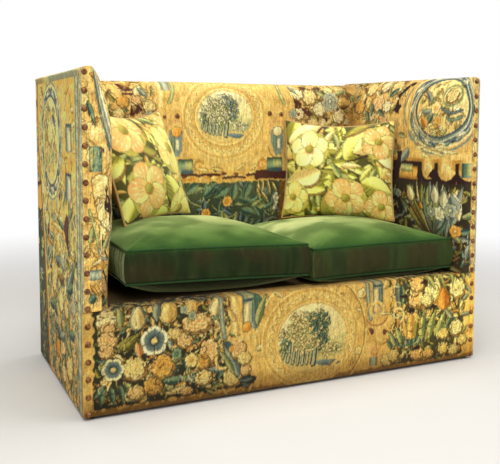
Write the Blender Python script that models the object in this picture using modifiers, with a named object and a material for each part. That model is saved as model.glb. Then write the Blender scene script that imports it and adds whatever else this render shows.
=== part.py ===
"""A two-seat upholstered settee with high arms, modelled as an upholsterer builds it.

A hardwood frame of posts and rails carries interlaced webbing, hourglass springs, a
canvas and a stuffed deck. Padded insides hook over the arms and the back, flat covers
close the outside, and a row of domed nails runs down each arm front. Two boxed seat
cushions and two scatter cushions lie loose on it.

Everything is in metres. X runs across the settee, Y from its front to its back and Z up,
and the origin is on the floor under the middle of its outline. Pieces are drawn in the
settee's own places: x across, depth behind the front face, and height, before the whole
plan is narrowed towards the back.
"""

import math

import bmesh
import bpy
from mathutils import Matrix, Vector
from mathutils.bvhtree import BVHTree

# Driving dimensions of the whole settee
OVERALL_WIDTH = 1.406
COVERED_DEPTH = 0.710
ARM_HEIGHT = 0.980
REAR_NARROWING = 0.040
ARM_THICKNESS = 0.090
BACK_THICKNESS = 0.114
DECK_HEIGHT = 0.309

# Clearance between pieces that touch, and the overrun of a cutter
GAP = 0.0003
OVERRUN = 0.010

# Covers, and the glides and dust cover under them
COVER = 0.004
GLIDE_HEIGHT = 0.0095
GLIDE_FOOT_RADIUS = 0.012
GLIDE_TOP_RADIUS = 0.014
GLIDE_SIDES = 16
GLIDE_SMOOTHING = math.radians(40.0)
DUST_COVER = 0.001
DUST_COVER_MARGIN = 0.012

# Frame timber
POST = 0.042
RAIL_THICKNESS = 0.030
SEAT_RAIL_DEPTH = 0.105
BASE_RAIL_DEPTH = 0.045
TOP_RAIL_DEPTH = 0.050
TACK_RAIL_DEPTH = 0.040
TACK_RAIL_RISE = 0.045
UPRIGHT_WIDTH = 0.050
STRETCHER_WIDTH = 0.045
SUPPORT_BLOCK_WIDTH = 0.060
BLOCK_LEG = 0.085
BLOCK_DEPTH = 0.060
BLOCK_DROP = 0.006
TIMBER_EDGE = 0.002

# Webbing, springs and canvas
STRAP_WIDTH = 0.050
STRAP_THICKNESS = 0.002
STRAP_LANDING = 0.020
STRAP_EASE = 0.006
STRAP_NIP = 0.0005
LENGTHWISE_STRAPS = 4
CROSSWISE_STRAPS = 6
SPRING_ROWS = 2
SPRING_END_RADIUS = 0.042
SPRING_WAIST_RADIUS = 0.027
SPRING_WIRE = 0.0038
SPRING_TURNS = 3.5
SPRING_STEPS_PER_TURN = 8
CANVAS = 0.002
CANVAS_LANDING = 0.020

# Padding of the arms, the back and the seat
TOP_PADDING = 0.020
ARM_TOP_FLAT = 0.030
ARM_ROLL_DROP = 0.160
ARM_CROWN = 0.007
ARM_TUCK = 0.009
ARM_FRONT_ROUND = 0.046
ARM_FRONT_DEPTH = 0.035
ARM_FOOT_LEDGE = 0.003
BACK_TOP_FLAT = 0.052
BACK_ROLL_DROP = 0.065
BACK_CROWN = 0.010
BACK_TUCK = 0.004
OUTER_EDGE_RADIUS = 0.008
TUCK_HEIGHT = 0.155
TUCK_RISE = 0.120
DECK_STUFFING = 0.034
DECK_EDGE_RADIUS = 0.009
DECK_FLAP = 0.070
DECK_CLEARANCE = 0.0005
ROLL_STEPS = 8
EDGE_STEPS = 3
TUCK_STEPS = 4
PAD_STATIONS = 9
FRONT_STATION_SHARES = (0.0, 0.08, 0.22, 0.45, 0.72)
PADDING_SMOOTHING = math.radians(40.0)

# Domed nails down each arm front
NAILS_PER_ARM = 20
NAIL_RADIUS = 0.009
NAIL_HEIGHT = 0.005
NAIL_INSET = 0.0145
NAIL_TOP_MARGIN = 0.0095
NAIL_FOOT_MARGIN = 0.0069
NAIL_SEATING = 0.001
NAIL_SIDES = 10
NAIL_RINGS = 2

# Boxed seat cushions
CUSHION_BORDER_HEIGHT = 0.098
CUSHION_CROWN = 0.056
CUSHION_DRAW_IN = 0.010
CUSHION_BULGE = 0.008
CUSHION_SETBACK = 0.018
CUSHION_BACK_GAP = 0.006
CUSHION_PARTING_GAP = 0.009
CUSHION_PARTING_OFFSET = 0.027
CUSHION_ARM_GAPS = {"left": 0.0455, "right": 0.0035}
CUSHION_CELLS = 16
CUSHION_BORDER_CELLS = 3
CUSHION_CROWN_POWER = 0.42
CUSHION_BULGE_POWER = 8
CUSHION_BELLY = 0.060
LEFT_CUSHION_LIFT = 0.050
LEFT_CUSHION_TILT = 0.010
RIGHT_CUSHION_LIFT = 0.021
RIGHT_CUSHION_TILT = 0.0
CUSHION_SMOOTHING = math.radians(50.0)

# Loose scatter cushions
PILLOW_WIDTH = 0.420
PILLOW_HEIGHT = 0.375
PILLOW_THICKNESS = 0.130
PILLOW_EDGE = 0.006
PILLOW_DRAW_IN = 0.014
PILLOW_TOP_DIP = 0.028
PILLOW_CELLS = 14
PILLOW_FULLNESS = 0.5
PILLOW_REST_GAP = 0.0006
PILLOW_APPROACH = 0.012
PILLOW_SIDE_GAP = 0.004
PILLOW_LEANS = {"left": math.radians(14.0), "right": math.radians(8.0)}
PILLOW_SLUMP_SHARES = {"left": -0.17, "right": 0.0}
PILLOW_TURNS = {"left": math.radians(38.0), "right": math.radians(-40.0)}
PILLOW_START_FROM_ARM = 0.292
PILLOW_START_FROM_BACK = 0.266
PILLOW_SMOOTHING = math.radians(80.0)

# Places worked out from the sizes above
HALF_WIDTH = OVERALL_WIDTH / 2
NARROWING_RATE = REAR_NARROWING / (HALF_WIDTH * COVERED_DEPTH)
FRONT_PLANE = (NAIL_HEIGHT - COVERED_DEPTH) / 2
COVER_BOTTOM = GLIDE_HEIGHT + GAP
FRAME_BOTTOM = COVER_BOTTOM + DUST_COVER + GAP
NAIL_RUN = ARM_HEIGHT - NAIL_TOP_MARGIN - COVER_BOTTOM - NAIL_FOOT_MARGIN
NAIL_PITCH = NAIL_RUN / (NAILS_PER_ARM - 1)
HOOK_HEIGHT = ARM_HEIGHT - TOP_PADDING
FRAME_TOP = HOOK_HEIGHT - GAP
SKIN = COVER + GAP
RAIL_INNER = SKIN + RAIL_THICKNESS
POST_INNER = SKIN + POST
PAD_ROOT = POST_INNER + GAP
BASE_RAIL_TOP = FRAME_BOTTOM + BASE_RAIL_DEPTH
CANVAS_TOP = DECK_HEIGHT - SKIN - DECK_STUFFING
CANVAS_BOTTOM = CANVAS_TOP - CANVAS
PAD_BOTTOM = CANVAS_TOP + GAP
SEAT_RAIL_TOP = CANVAS_BOTTOM - GAP
SEAT_RAIL_BOTTOM = SEAT_RAIL_TOP - SEAT_RAIL_DEPTH
STRAP_TOP = SEAT_RAIL_BOTTOM - GAP
STRAP_RISE = (STRAP_THICKNESS - STRAP_NIP) / 2
STRAP_LEVEL = STRAP_TOP - STRAP_THICKNESS / 2 - STRAP_RISE
SEAT_BACK = COVERED_DEPTH - BACK_THICKNESS
SEAT_HALF_WIDTH = HALF_WIDTH - ARM_THICKNESS + ARM_TUCK
CUSHION_DEPTH = SEAT_BACK - CUSHION_SETBACK - CUSHION_BACK_GAP
CUSHION_SHARED_WIDTH = (2 * SEAT_HALF_WIDTH - sum(CUSHION_ARM_GAPS.values())
                        - CUSHION_PARTING_GAP) / 2
BACK_RAIL_INNER = COVERED_DEPTH - RAIL_INNER
BACK_POST_INNER = COVERED_DEPTH - POST_INNER
BACK_SKIN = COVERED_DEPTH - SKIN
SIDES = {"left": -1, "right": 1}

# Turns a drawing of (depth, height) into a shape that runs across the settee
ACROSS = Matrix(((0, 0, 1, 0), (1, 0, 0, 0), (0, 1, 0, 0), (0, 0, 0, 1)))


def clear_scene():
    """Remove every object, so that the script can be run again."""
    for item in list(bpy.data.objects):
        bpy.data.objects.remove(item, do_unlink=True)


def make_collection(name):
    """Add a collection to the scene."""
    collection = bpy.data.collections.new(name)
    bpy.context.scene.collection.children.link(collection)
    return collection


def make_material(name, color, roughness, metallic=0.0):
    """A plain Principled material."""
    material = bpy.data.materials.new(name)
    material.use_nodes = True
    shader = material.node_tree.nodes["Principled BSDF"]
    shader.inputs["Base Color"].default_value = (*color, 1.0)
    shader.inputs["Roughness"].default_value = roughness
    shader.inputs["Metallic"].default_value = metallic
    material.diffuse_color = (*color, 1.0)
    return material


# Drawing helpers

def new_mesh(bm, name):
    """Close a bmesh into a mesh with its faces pointing out."""
    bmesh.ops.recalc_face_normals(bm, faces=bm.faces)
    mesh = bpy.data.meshes.new(name)
    bm.to_mesh(mesh)
    bm.free()
    return mesh


def box_mesh(low, high):
    """A box between two corners."""
    low = Vector(low)
    high = Vector(high)
    bm = bmesh.new()
    bmesh.ops.create_cube(bm, size=1.0)
    bmesh.ops.scale(bm, vec=high - low, verts=bm.verts)
    bmesh.ops.translate(bm, vec=(low + high) / 2, verts=bm.verts)
    return new_mesh(bm, "box")


def joined_mesh(meshes):
    """Several closed meshes as one mesh of separate solids."""
    bm = bmesh.new()
    for mesh in meshes:
        bm.from_mesh(mesh)
        bpy.data.meshes.remove(mesh)
    return new_mesh(bm, "group")


def outline_mesh(points, thickness, turn):
    """A flat closed outline, extruded evenly about its plane and turned into place."""
    curve = bpy.data.curves.new("outline", "CURVE")
    curve.dimensions = "2D"
    curve.fill_mode = "BOTH"
    curve.extrude = thickness / 2
    spline = curve.splines.new("POLY")
    spline.points.add(len(points[1:]))
    for knot, (across, up) in zip(spline.points, points):
        knot.co = (across, up, 0.0, 1.0)
    spline.use_cyclic_u = True
    return solid_of_curve(curve, turn)


def solid_of_curve(curve, turn):
    """The welded mesh of a curve with caps, turned into place."""
    guide = bpy.data.objects.new("guide", curve)
    bpy.context.scene.collection.objects.link(guide)
    bpy.context.view_layer.update()
    graph = bpy.context.evaluated_depsgraph_get()
    mesh = bpy.data.meshes.new_from_object(guide.evaluated_get(graph))
    bpy.data.objects.remove(guide, do_unlink=True)
    bm = bmesh.new()
    bm.from_mesh(mesh)
    bpy.data.meshes.remove(mesh)
    bmesh.ops.remove_doubles(bm, verts=bm.verts, dist=GAP / 3)
    bmesh.ops.transform(bm, matrix=turn, verts=bm.verts)
    return new_mesh(bm, "solid")


def loft_mesh(rings):
    """A closed solid through rings of equally many points, with flat ends."""
    bm = bmesh.new()
    rows = [[bm.verts.new(point) for point in ring] for ring in rings]
    count = len(rows[0])
    for first, second in zip(rows, rows[1:]):
        for index in range(count):
            after = (index + 1) % count
            bm.faces.new((first[index], first[after], second[after], second[index]))
    bm.faces.new(rows[0])
    bm.faces.new(rows[-1])
    return new_mesh(bm, "loft")


def cell_block_mesh(cells):
    """A unit cube with its faces divided into cells along x, y and z."""
    bm = bmesh.new()
    bmesh.ops.create_cube(bm, size=1.0)
    for axis, count in enumerate(cells):
        if count < 2:
            continue
        along = [edge for edge in bm.edges
                 if edge.verts[0].co[axis] != edge.verts[1].co[axis]]
        bmesh.ops.subdivide_edges(bm, edges=along, cuts=count - 1, use_grid_fill=True)
    return new_mesh(bm, "cells")


def narrow(mesh):
    """Draw a mesh in towards the back, as the settee's plan does."""
    for vertex in mesh.vertices:
        vertex.co.x *= 1 - NARROWING_RATE * vertex.co.y
    mesh.update()
    return mesh


def place(name, mesh, material, parts, root):
    """Put a mesh drawn in the settee's places at its own centre, under the root."""
    corners = [vertex.co for vertex in mesh.vertices]
    low = Vector([min(corner[axis] for corner in corners) for axis in range(3)])
    high = Vector([max(corner[axis] for corner in corners) for axis in range(3)])
    centre = (low + high) / 2
    mesh.transform(Matrix.Translation(-centre))
    mesh.name = name
    piece = bpy.data.objects.new(name, mesh)
    piece.location = centre
    piece.parent = root
    if material:
        mesh.materials.append(material)
    parts.objects.link(piece)
    return piece


def ease_edges(piece, width):
    """Take the sharp corners off a timber."""
    bevel = piece.modifiers.new("eased edges", "BEVEL")
    bevel.width = width
    bevel.segments = 1
    bevel.limit_method = "ANGLE"


def combine(piece, other, operation):
    """Cut one piece by another shape with DIFFERENCE, or join them with UNION."""
    boolean = piece.modifiers.new(operation.lower() + " " + other.name, "BOOLEAN")
    boolean.operation = operation
    boolean.solver = "EXACT"
    boolean.object = other


def place_cutter(name, mesh, cutters, root):
    """Put a cutter, or a shape to be joined on, out of the model."""
    cutter = place(name, mesh, None, cutters, root)
    cutter.hide_render = True
    cutter.display_type = "WIRE"
    return cutter


def smooth(piece, angle):
    """Shade a rounded piece smooth between its sharp edges."""
    piece.data.shade_smooth()
    piece.data.set_sharp_from_angle(angle=angle)


# Sections of the padding

def quarter_turn(steps):
    """Angles from zero to a right angle, without the first."""
    return [math.pi / 2 * step / steps for step in range(1, steps + 1)]


def front_rounding(depth):
    """What the rounded front of an arm takes off its thickness at a depth."""
    part = 1 - min(depth / ARM_FRONT_DEPTH, 1.0)
    return ARM_FRONT_ROUND * (1 - math.sqrt(1 - part * part))


def padded_section(thickness, swell, top_flat, roll_drop, tuck, grow=0.0, rounding=None):
    """The section of a padded inside that hooks over its top rail.

    Points are (distance from the outer face, height), from the foot of the pad round by
    the rail, the outer top edge and the roll to the inner face and back to the foot.
    rounding is what a rounded front takes off it above the deck; None is for a pad that
    has no such front.
    """
    taken = rounding or 0.0
    top = ARM_HEIGHT + grow
    full = thickness + swell + grow - taken
    seat = thickness - tuck + grow - taken
    edge = OUTER_EDGE_RADIUS
    points = [(PAD_ROOT - grow, PAD_BOTTOM - grow), (PAD_ROOT - grow, HOOK_HEIGHT - grow),
              (-grow, HOOK_HEIGHT - grow), (-grow, top - edge)]
    for angle in quarter_turn(EDGE_STEPS):
        points.append((edge * (1 - math.cos(angle)) - grow,
                       top - edge * (1 - math.sin(angle))))
    points.append((top_flat, top))
    for angle in quarter_turn(ROLL_STEPS):
        points.append((top_flat + (full - top_flat) * math.sin(angle),
                       top - roll_drop * (1 - math.cos(angle))))
    tuck_bottom = DECK_HEIGHT + TUCK_HEIGHT
    for step in range(TUCK_STEPS + 1):
        part = step / TUCK_STEPS
        fall = (1 - math.cos(math.pi * part)) / 2
        points.append((full + (seat - full) * fall, tuck_bottom + TUCK_RISE * (1 - part)))
    if rounding is not None:
        points += [(seat, DECK_HEIGHT + ARM_FOOT_LEDGE), (seat + taken, DECK_HEIGHT)]
    points.append((seat + taken, PAD_BOTTOM - grow))
    return points


def facing_section(depth):
    """The outline of an arm's facing at a depth, from its foot round its top."""
    whole = padded_section(ARM_THICKNESS, 0.0, ARM_TOP_FLAT, ARM_ROLL_DROP, ARM_TUCK,
                           rounding=front_rounding(depth))
    upper = [point for point in whole[3:] if point[1] > DECK_HEIGHT]
    foot = DECK_HEIGHT + GAP
    return [(0.0, foot)] + upper + [(upper[-1][0], foot)]


# Hardwood frame

def build_posts(timber):
    """Four corner posts, the full height of the frame."""
    depths = {"front": (SKIN, POST_INNER), "rear": (BACK_POST_INNER, BACK_SKIN)}
    for side, sign in SIDES.items():
        across = sorted((sign * (HALF_WIDTH - SKIN), sign * (HALF_WIDTH - POST_INNER)))
        for end, (near, far) in depths.items():
            timber(f"{end}_post_{side}", (across[0], near, FRAME_BOTTOM),
                   (across[1], far, FRAME_TOP))


def build_rails(timber):
    """Base, seat, tack and top rails between the posts."""
    seat_half = HALF_WIDTH - POST_INNER - GAP
    front_end = POST_INNER + GAP
    rear_end = BACK_POST_INNER - GAP
    tack_bottom = DECK_HEIGHT + TACK_RAIL_RISE
    levels = {"base": (FRAME_BOTTOM, BASE_RAIL_TOP),
              "seat": (SEAT_RAIL_BOTTOM, SEAT_RAIL_TOP)}
    for level, (bottom, top) in levels.items():
        timber(f"front_{level}_rail", (-seat_half, SKIN, bottom), (seat_half, RAIL_INNER, top))
        timber(f"rear_{level}_rail", (-seat_half, BACK_RAIL_INNER, bottom),
               (seat_half, BACK_SKIN, top))
        for side, sign in SIDES.items():
            across = sorted((sign * (HALF_WIDTH - SKIN), sign * (HALF_WIDTH - RAIL_INNER)))
            timber(f"side_{level}_rail_{side}", (across[0], front_end, bottom),
                   (across[1], rear_end, top))
    for side, sign in SIDES.items():
        wide = sorted((sign * (HALF_WIDTH - SKIN), sign * (HALF_WIDTH - POST_INNER)))
        inner = sorted((sign * (HALF_WIDTH - POST_INNER + RAIL_THICKNESS),
                        sign * (HALF_WIDTH - POST_INNER)))
        timber(f"arm_top_rail_{side}", (wide[0], front_end, FRAME_TOP - TOP_RAIL_DEPTH),
               (wide[1], rear_end, FRAME_TOP))
        timber(f"arm_tack_rail_{side}", (inner[0], front_end, tack_bottom),
               (inner[1], rear_end, tack_bottom + TACK_RAIL_DEPTH))
    timber("back_top_rail", (-seat_half, BACK_POST_INNER, FRAME_TOP - TOP_RAIL_DEPTH),
           (seat_half, BACK_SKIN, FRAME_TOP))
    timber("back_tack_rail", (-seat_half, BACK_POST_INNER, tack_bottom),
           (seat_half, BACK_POST_INNER + RAIL_THICKNESS, tack_bottom + TACK_RAIL_DEPTH))
    timber("back_upright", (-UPRIGHT_WIDTH / 2, BACK_POST_INNER, tack_bottom + TACK_RAIL_DEPTH + GAP),
           (UPRIGHT_WIDTH / 2, BACK_POST_INNER + RAIL_THICKNESS,
            FRAME_TOP - TOP_RAIL_DEPTH - GAP))
    timber("base_stretcher", (-STRETCHER_WIDTH / 2, RAIL_INNER + GAP, FRAME_BOTTOM),
           (STRETCHER_WIDTH / 2, BACK_RAIL_INNER - GAP, BASE_RAIL_TOP))


def crosswise_places():
    """Where the straps from front to back lie across the seat."""
    clear_width = 2 * (HALF_WIDTH - POST_INNER)
    spacing = clear_width / CROSSWISE_STRAPS
    middle = (CROSSWISE_STRAPS - 1) / 2
    return [(index - middle) * spacing for index in range(CROSSWISE_STRAPS)]


def lengthwise_places():
    """Where the straps from side to side lie behind the front face."""
    clear_depth = BACK_POST_INNER - POST_INNER
    spacing = clear_depth / LENGTHWISE_STRAPS
    return [POST_INNER + (index + 1 / 2) * spacing for index in range(LENGTHWISE_STRAPS)]


def build_support_blocks(timber):
    """A block under the middle of each long seat rail, standing on the base rail."""
    half = SUPPORT_BLOCK_WIDTH / 2
    rails = {"front": (SKIN, RAIL_INNER), "rear": (BACK_RAIL_INNER, BACK_SKIN)}
    for end, (near, far) in rails.items():
        timber(f"{end}_support_block", (-half, near, BASE_RAIL_TOP + GAP),
               (half, far, SEAT_RAIL_BOTTOM - GAP))


def build_corner_blocks(material, parts, root):
    """Glued blocks that brace the seat rails round the foot of each post."""
    rail = RAIL_INNER + GAP
    post = POST_INNER + GAP
    leg = RAIL_INNER + BLOCK_LEG
    shape = [(post, rail), (leg, rail), (rail, leg), (rail, post), (post, post)]
    lift = Matrix.Translation((0.0, 0.0, SEAT_RAIL_TOP - BLOCK_DROP - BLOCK_DEPTH / 2))
    for side, sign in SIDES.items():
        for end in ("front", "rear"):
            points = [(sign * (HALF_WIDTH - across),
                       COVERED_DEPTH - deep if end == "rear" else deep)
                      for across, deep in shape]
            block = narrow(outline_mesh(points, BLOCK_DEPTH, lift))
            place(f"{end}_corner_block_{side}", block, material, parts, root)


# Seat suspension

def strap_mesh(length_points, width, crossing_axis):
    """One strap of webbing: a flat section swept through (place along, height) points.

    crossing_axis is 0 for a strap that runs across the settee and 1 for one from front
    to back; width gives the two edges of the strap on the other axis.
    """
    rings = []
    for along, height in length_points:
        ring = []
        for edge, lift in ((0, -1), (1, -1), (1, 1), (0, 1)):
            point = [0.0, 0.0, height + lift * STRAP_THICKNESS / 2]
            point[crossing_axis] = along
            point[1 - crossing_axis] = width[edge]
            ring.append(Vector(point))
        rings.append(ring)
    return loft_mesh(rings)


def woven_points(start, end, crossings, first_over):
    """The path of a strap that passes over and under the straps it crosses in turn."""
    reach = STRAP_WIDTH / 2 + STRAP_EASE
    points = [(start, STRAP_LEVEL + STRAP_RISE)]
    for index, crossing in enumerate(crossings):
        over = (index % 2 == 0) == first_over
        height = STRAP_LEVEL + (STRAP_RISE if over else -STRAP_RISE)
        points.append((crossing - reach, height))
        points.append((crossing + reach, height))
    points.append((end, STRAP_LEVEL + STRAP_RISE))
    return points


def build_webbing(material, parts, cutters, root):
    """Jute straps woven over and under each other beneath the seat rails.

    They bite into each other a little where they cross, so the web is one solid.
    """
    across = crosswise_places()
    deep = lengthwise_places()
    half_strap = STRAP_WIDTH / 2
    reach = HALF_WIDTH - RAIL_INNER + STRAP_LANDING
    lengthwise = []
    for row, depth in enumerate(deep):
        path = woven_points(-reach, reach, across, row % 2 == 0)
        lengthwise.append(strap_mesh(path, (depth - half_strap, depth + half_strap), 0))
    crosswise = []
    for column, place_across in enumerate(across):
        path = woven_points(RAIL_INNER - STRAP_LANDING, BACK_RAIL_INNER + STRAP_LANDING,
                            deep, column % 2 == 1)
        edges = (place_across - half_strap, place_across + half_strap)
        crosswise.append(strap_mesh(path, edges, 1))
    web = place("webbing", narrow(joined_mesh(lengthwise)), material, parts, root)
    crossing = place_cutter("crosswise_straps", narrow(joined_mesh(crosswise)), cutters, root)
    combine(web, crossing, "UNION")


def spring_points():
    """The centre line of an hourglass spring that stands on the webbing."""
    bottom = STRAP_TOP + GAP + SPRING_WIRE / 2
    top = CANVAS_BOTTOM - GAP - SPRING_WIRE / 2
    steps = round(SPRING_TURNS * SPRING_STEPS_PER_TURN)
    points = []
    for step in range(steps + 1):
        part = step / steps
        angle = 2 * math.pi * SPRING_TURNS * part
        flare = (2 * part - 1) ** 2
        radius = SPRING_WAIST_RADIUS + (SPRING_END_RADIUS - SPRING_WAIST_RADIUS) * flare
        rise = part - math.sin(2 * math.pi * part) / (2 * math.pi)
        points.append(Vector((radius * math.cos(angle), radius * math.sin(angle),
                              bottom + (top - bottom) * rise)))
    return points


def least_gap(points):
    """The least gap between turns of a spring that lie half a turn or more apart."""
    apart = SPRING_STEPS_PER_TURN // 2
    return min((second - first).length
               for index, first in enumerate(points)
               for second in points[index + apart:]) - SPRING_WIRE


def spring_mesh(points):
    """The wire of one spring as a closed tube."""
    curve = bpy.data.curves.new("spring", "CURVE")
    curve.dimensions = "3D"
    curve.bevel_depth = SPRING_WIRE / 2
    curve.bevel_resolution = 0
    curve.use_fill_caps = True
    spline = curve.splines.new("POLY")
    spline.points.add(len(points[1:]))
    for knot, point in zip(spline.points, points):
        knot.co = (*point, 1.0)
    return solid_of_curve(curve, Matrix.Identity(4))


def build_springs(material, parts, root):
    """Rows of hourglass springs on the crossings of the lengthwise straps."""
    points = spring_points()
    print(f"least gap between a spring's turns: {least_gap(points) * 1000:.2f} mm")
    pattern = spring_mesh(points)
    count = 0
    for depth in lengthwise_places()[::LENGTHWISE_STRAPS // SPRING_ROWS]:
        for across in crosswise_places():
            count += 1
            spring = pattern.copy()
            middle = across * (1 - NARROWING_RATE * depth)
            spring.transform(Matrix.Translation((middle, depth, 0.0)))
            place(f"seat_spring_{count}", spring, material, parts, root)
    bpy.data.meshes.remove(pattern)


def build_canvas(material, parts, root):
    """The spring canvas, tacked on the seat rails and cut round the posts."""
    edge = RAIL_INNER - CANVAS_LANDING
    post = POST_INNER + GAP
    quarter = [(HALF_WIDTH - edge, post), (HALF_WIDTH - post, post), (HALF_WIDTH - post, edge)]
    front = quarter + [(-across, deep) for across, deep in reversed(quarter)]
    back = [(-across, COVERED_DEPTH - deep) for across, deep in quarter]
    back += [(across, COVERED_DEPTH - deep) for across, deep in reversed(quarter)]
    lift = Matrix.Translation((0.0, 0.0, (CANVAS_BOTTOM + CANVAS_TOP) / 2))
    sheet = outline_mesh(front + back, CANVAS, lift)
    place("spring_canvas", narrow(sheet), material, parts, root)


def build_deck(material, parts, root):
    """The stuffed deck on the canvas, stepped down under the flap of the front cover."""
    radius = DECK_EDGE_RADIUS
    inner = radius - SKIN
    flap_end = DECK_FLAP + GAP
    back = SEAT_BACK + BACK_TUCK - DECK_CLEARANCE
    points = [(SKIN, PAD_BOTTOM), (SKIN, DECK_HEIGHT - radius)]
    for angle in quarter_turn(EDGE_STEPS):
        points.append((radius - inner * math.cos(angle),
                       DECK_HEIGHT - radius + inner * math.sin(angle)))
    points += [(flap_end, DECK_HEIGHT - SKIN), (flap_end, DECK_HEIGHT),
               (back, DECK_HEIGHT), (back, PAD_BOTTOM)]
    deck = outline_mesh(points, 2 * (SEAT_HALF_WIDTH - DECK_CLEARANCE), ACROSS)
    place("seat_deck", narrow(deck), material, parts, root)


# Padding and covers

def arm_stations(start, end):
    """The depths of an arm pad's sections, close together where its front is rounded."""
    front = [start + (ARM_FRONT_DEPTH - start) * share for share in FRONT_STATION_SHARES]
    length = end - ARM_FRONT_DEPTH
    return front + [ARM_FRONT_DEPTH + length * step / (PAD_STATIONS - 1)
                    for step in range(PAD_STATIONS)]


def arm_pad_mesh(sign, grow=0.0):
    """The padded inside of one arm, rounded in front and swelling halfway along."""
    start = SKIN - grow
    end = COVERED_DEPTH + grow
    rings = []
    for depth in arm_stations(start, end):
        part = (depth - start) / (end - start)
        swell = ARM_CROWN * (1 - (2 * part - 1) ** 2)
        section = padded_section(ARM_THICKNESS, swell, ARM_TOP_FLAT, ARM_ROLL_DROP,
                                 ARM_TUCK, grow, front_rounding(depth))
        rings.append([(sign * (HALF_WIDTH - out), depth, height) for out, height in section])
    return narrow(loft_mesh(rings))


def build_arm_pads(material, parts, cutters, root):
    """Both padded arm insides, notched below the hook for the frame of the back."""
    for side, sign in SIDES.items():
        pad = place(f"arm_inside_{side}", arm_pad_mesh(sign), material, parts, root)
        across = sorted((sign * (HALF_WIDTH + OVERRUN), 0.0))
        notch = box_mesh((across[0], BACK_POST_INNER - GAP, 0.0),
                         (across[1], COVERED_DEPTH + OVERRUN, HOOK_HEIGHT))
        combine(pad, place_cutter(f"rear_notch_{side}", notch, cutters, root), "DIFFERENCE")
        smooth(pad, PADDING_SMOOTHING)


def build_back_pad(material, parts, cutters, root):
    """The padded inside of the back, fitted between the two arm pads."""
    half = HALF_WIDTH - PAD_ROOT
    rings = []
    for station in range(PAD_STATIONS + 2):
        part = 2 * station / (PAD_STATIONS + 1) - 1
        swell = BACK_CROWN * (1 - part * part)
        section = padded_section(BACK_THICKNESS, swell, BACK_TOP_FLAT, BACK_ROLL_DROP, BACK_TUCK)
        rings.append([(part * half, COVERED_DEPTH - out, height) for out, height in section])
    pad = place("back_inside", narrow(loft_mesh(rings)), material, parts, root)
    for side, sign in SIDES.items():
        room = place_cutter(f"arm_room_{side}", arm_pad_mesh(sign, GAP), cutters, root)
        combine(pad, room, "DIFFERENCE")
    smooth(pad, PADDING_SMOOTHING)


def build_outside_covers(material, parts, root):
    """Flat covers on the outside of the arms and the back."""
    for side, sign in SIDES.items():
        across = sorted((sign * HALF_WIDTH, sign * (HALF_WIDTH - COVER)))
        panel = box_mesh((across[0], SKIN, COVER_BOTTOM), (across[1], BACK_SKIN, FRAME_TOP))
        place(f"arm_outside_{side}", narrow(panel), material, parts, root)
    panel = box_mesh((-HALF_WIDTH, COVERED_DEPTH - COVER, COVER_BOTTOM),
                     (HALF_WIDTH, COVERED_DEPTH, FRAME_TOP))
    place("back_outside", narrow(panel), material, parts, root)


def dome_mesh():
    """One domed nail head, seated a little behind the plane of depth zero."""
    profile = [(1.0, -NAIL_SEATING / NAIL_HEIGHT), (1.0, 0.0)]
    profile += [(math.cos(angle), math.sin(angle)) for angle in quarter_turn(NAIL_RINGS)]
    bm = bmesh.new()
    rings = []
    for wide, high in profile[:-1]:
        ring = []
        for step in range(NAIL_SIDES):
            turn = 2 * math.pi * step / NAIL_SIDES
            ring.append(bm.verts.new((NAIL_RADIUS * wide * math.cos(turn), -NAIL_HEIGHT * high,
                                      NAIL_RADIUS * wide * math.sin(turn))))
        rings.append(ring)
    tip = bm.verts.new((0.0, -NAIL_HEIGHT, 0.0))
    for first, second in zip(rings, rings[1:]):
        for index in range(NAIL_SIDES):
            after = (index + 1) % NAIL_SIDES
            bm.faces.new((first[index], first[after], second[after], second[index]))
    for index in range(NAIL_SIDES):
        bm.faces.new((rings[-1][index], rings[-1][(index + 1) % NAIL_SIDES], tip))
    bm.faces.new(rings[0])
    return new_mesh(bm, "dome")


def nail_places():
    """The (x, height) of every nail head on both arm fronts."""
    return [(sign * (HALF_WIDTH - NAIL_INSET), ARM_HEIGHT - NAIL_TOP_MARGIN - NAIL_PITCH * index)
            for sign in SIDES.values() for index in range(NAILS_PER_ARM)]


def nail_heads_mesh(places):
    """Domed heads at the given places, as one mesh of separate solids."""
    head = dome_mesh()
    heads = []
    for across, height in places:
        nail = head.copy()
        nail.transform(Matrix.Translation((across, 0.0, height)))
        heads.append(nail)
    bpy.data.meshes.remove(head)
    return joined_mesh(heads)


def build_arm_facings(material, parts, cutters, root):
    """The cover on each arm front, following its rounding, with its domed nails."""
    for side, sign in SIDES.items():
        rings = [[(sign * (HALF_WIDTH - out), depth, height)
                  for out, height in facing_section(depth)] for depth in (0.0, COVER)]
        facing = place(f"arm_facing_{side}", narrow(loft_mesh(rings)), material, parts, root)
        own = [spot for spot in nail_places() if spot[0] * sign > 0 and spot[1] > DECK_HEIGHT]
        heads = place_cutter(f"facing_nails_{side}", nail_heads_mesh(own), cutters, root)
        combine(facing, heads, "UNION")


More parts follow.
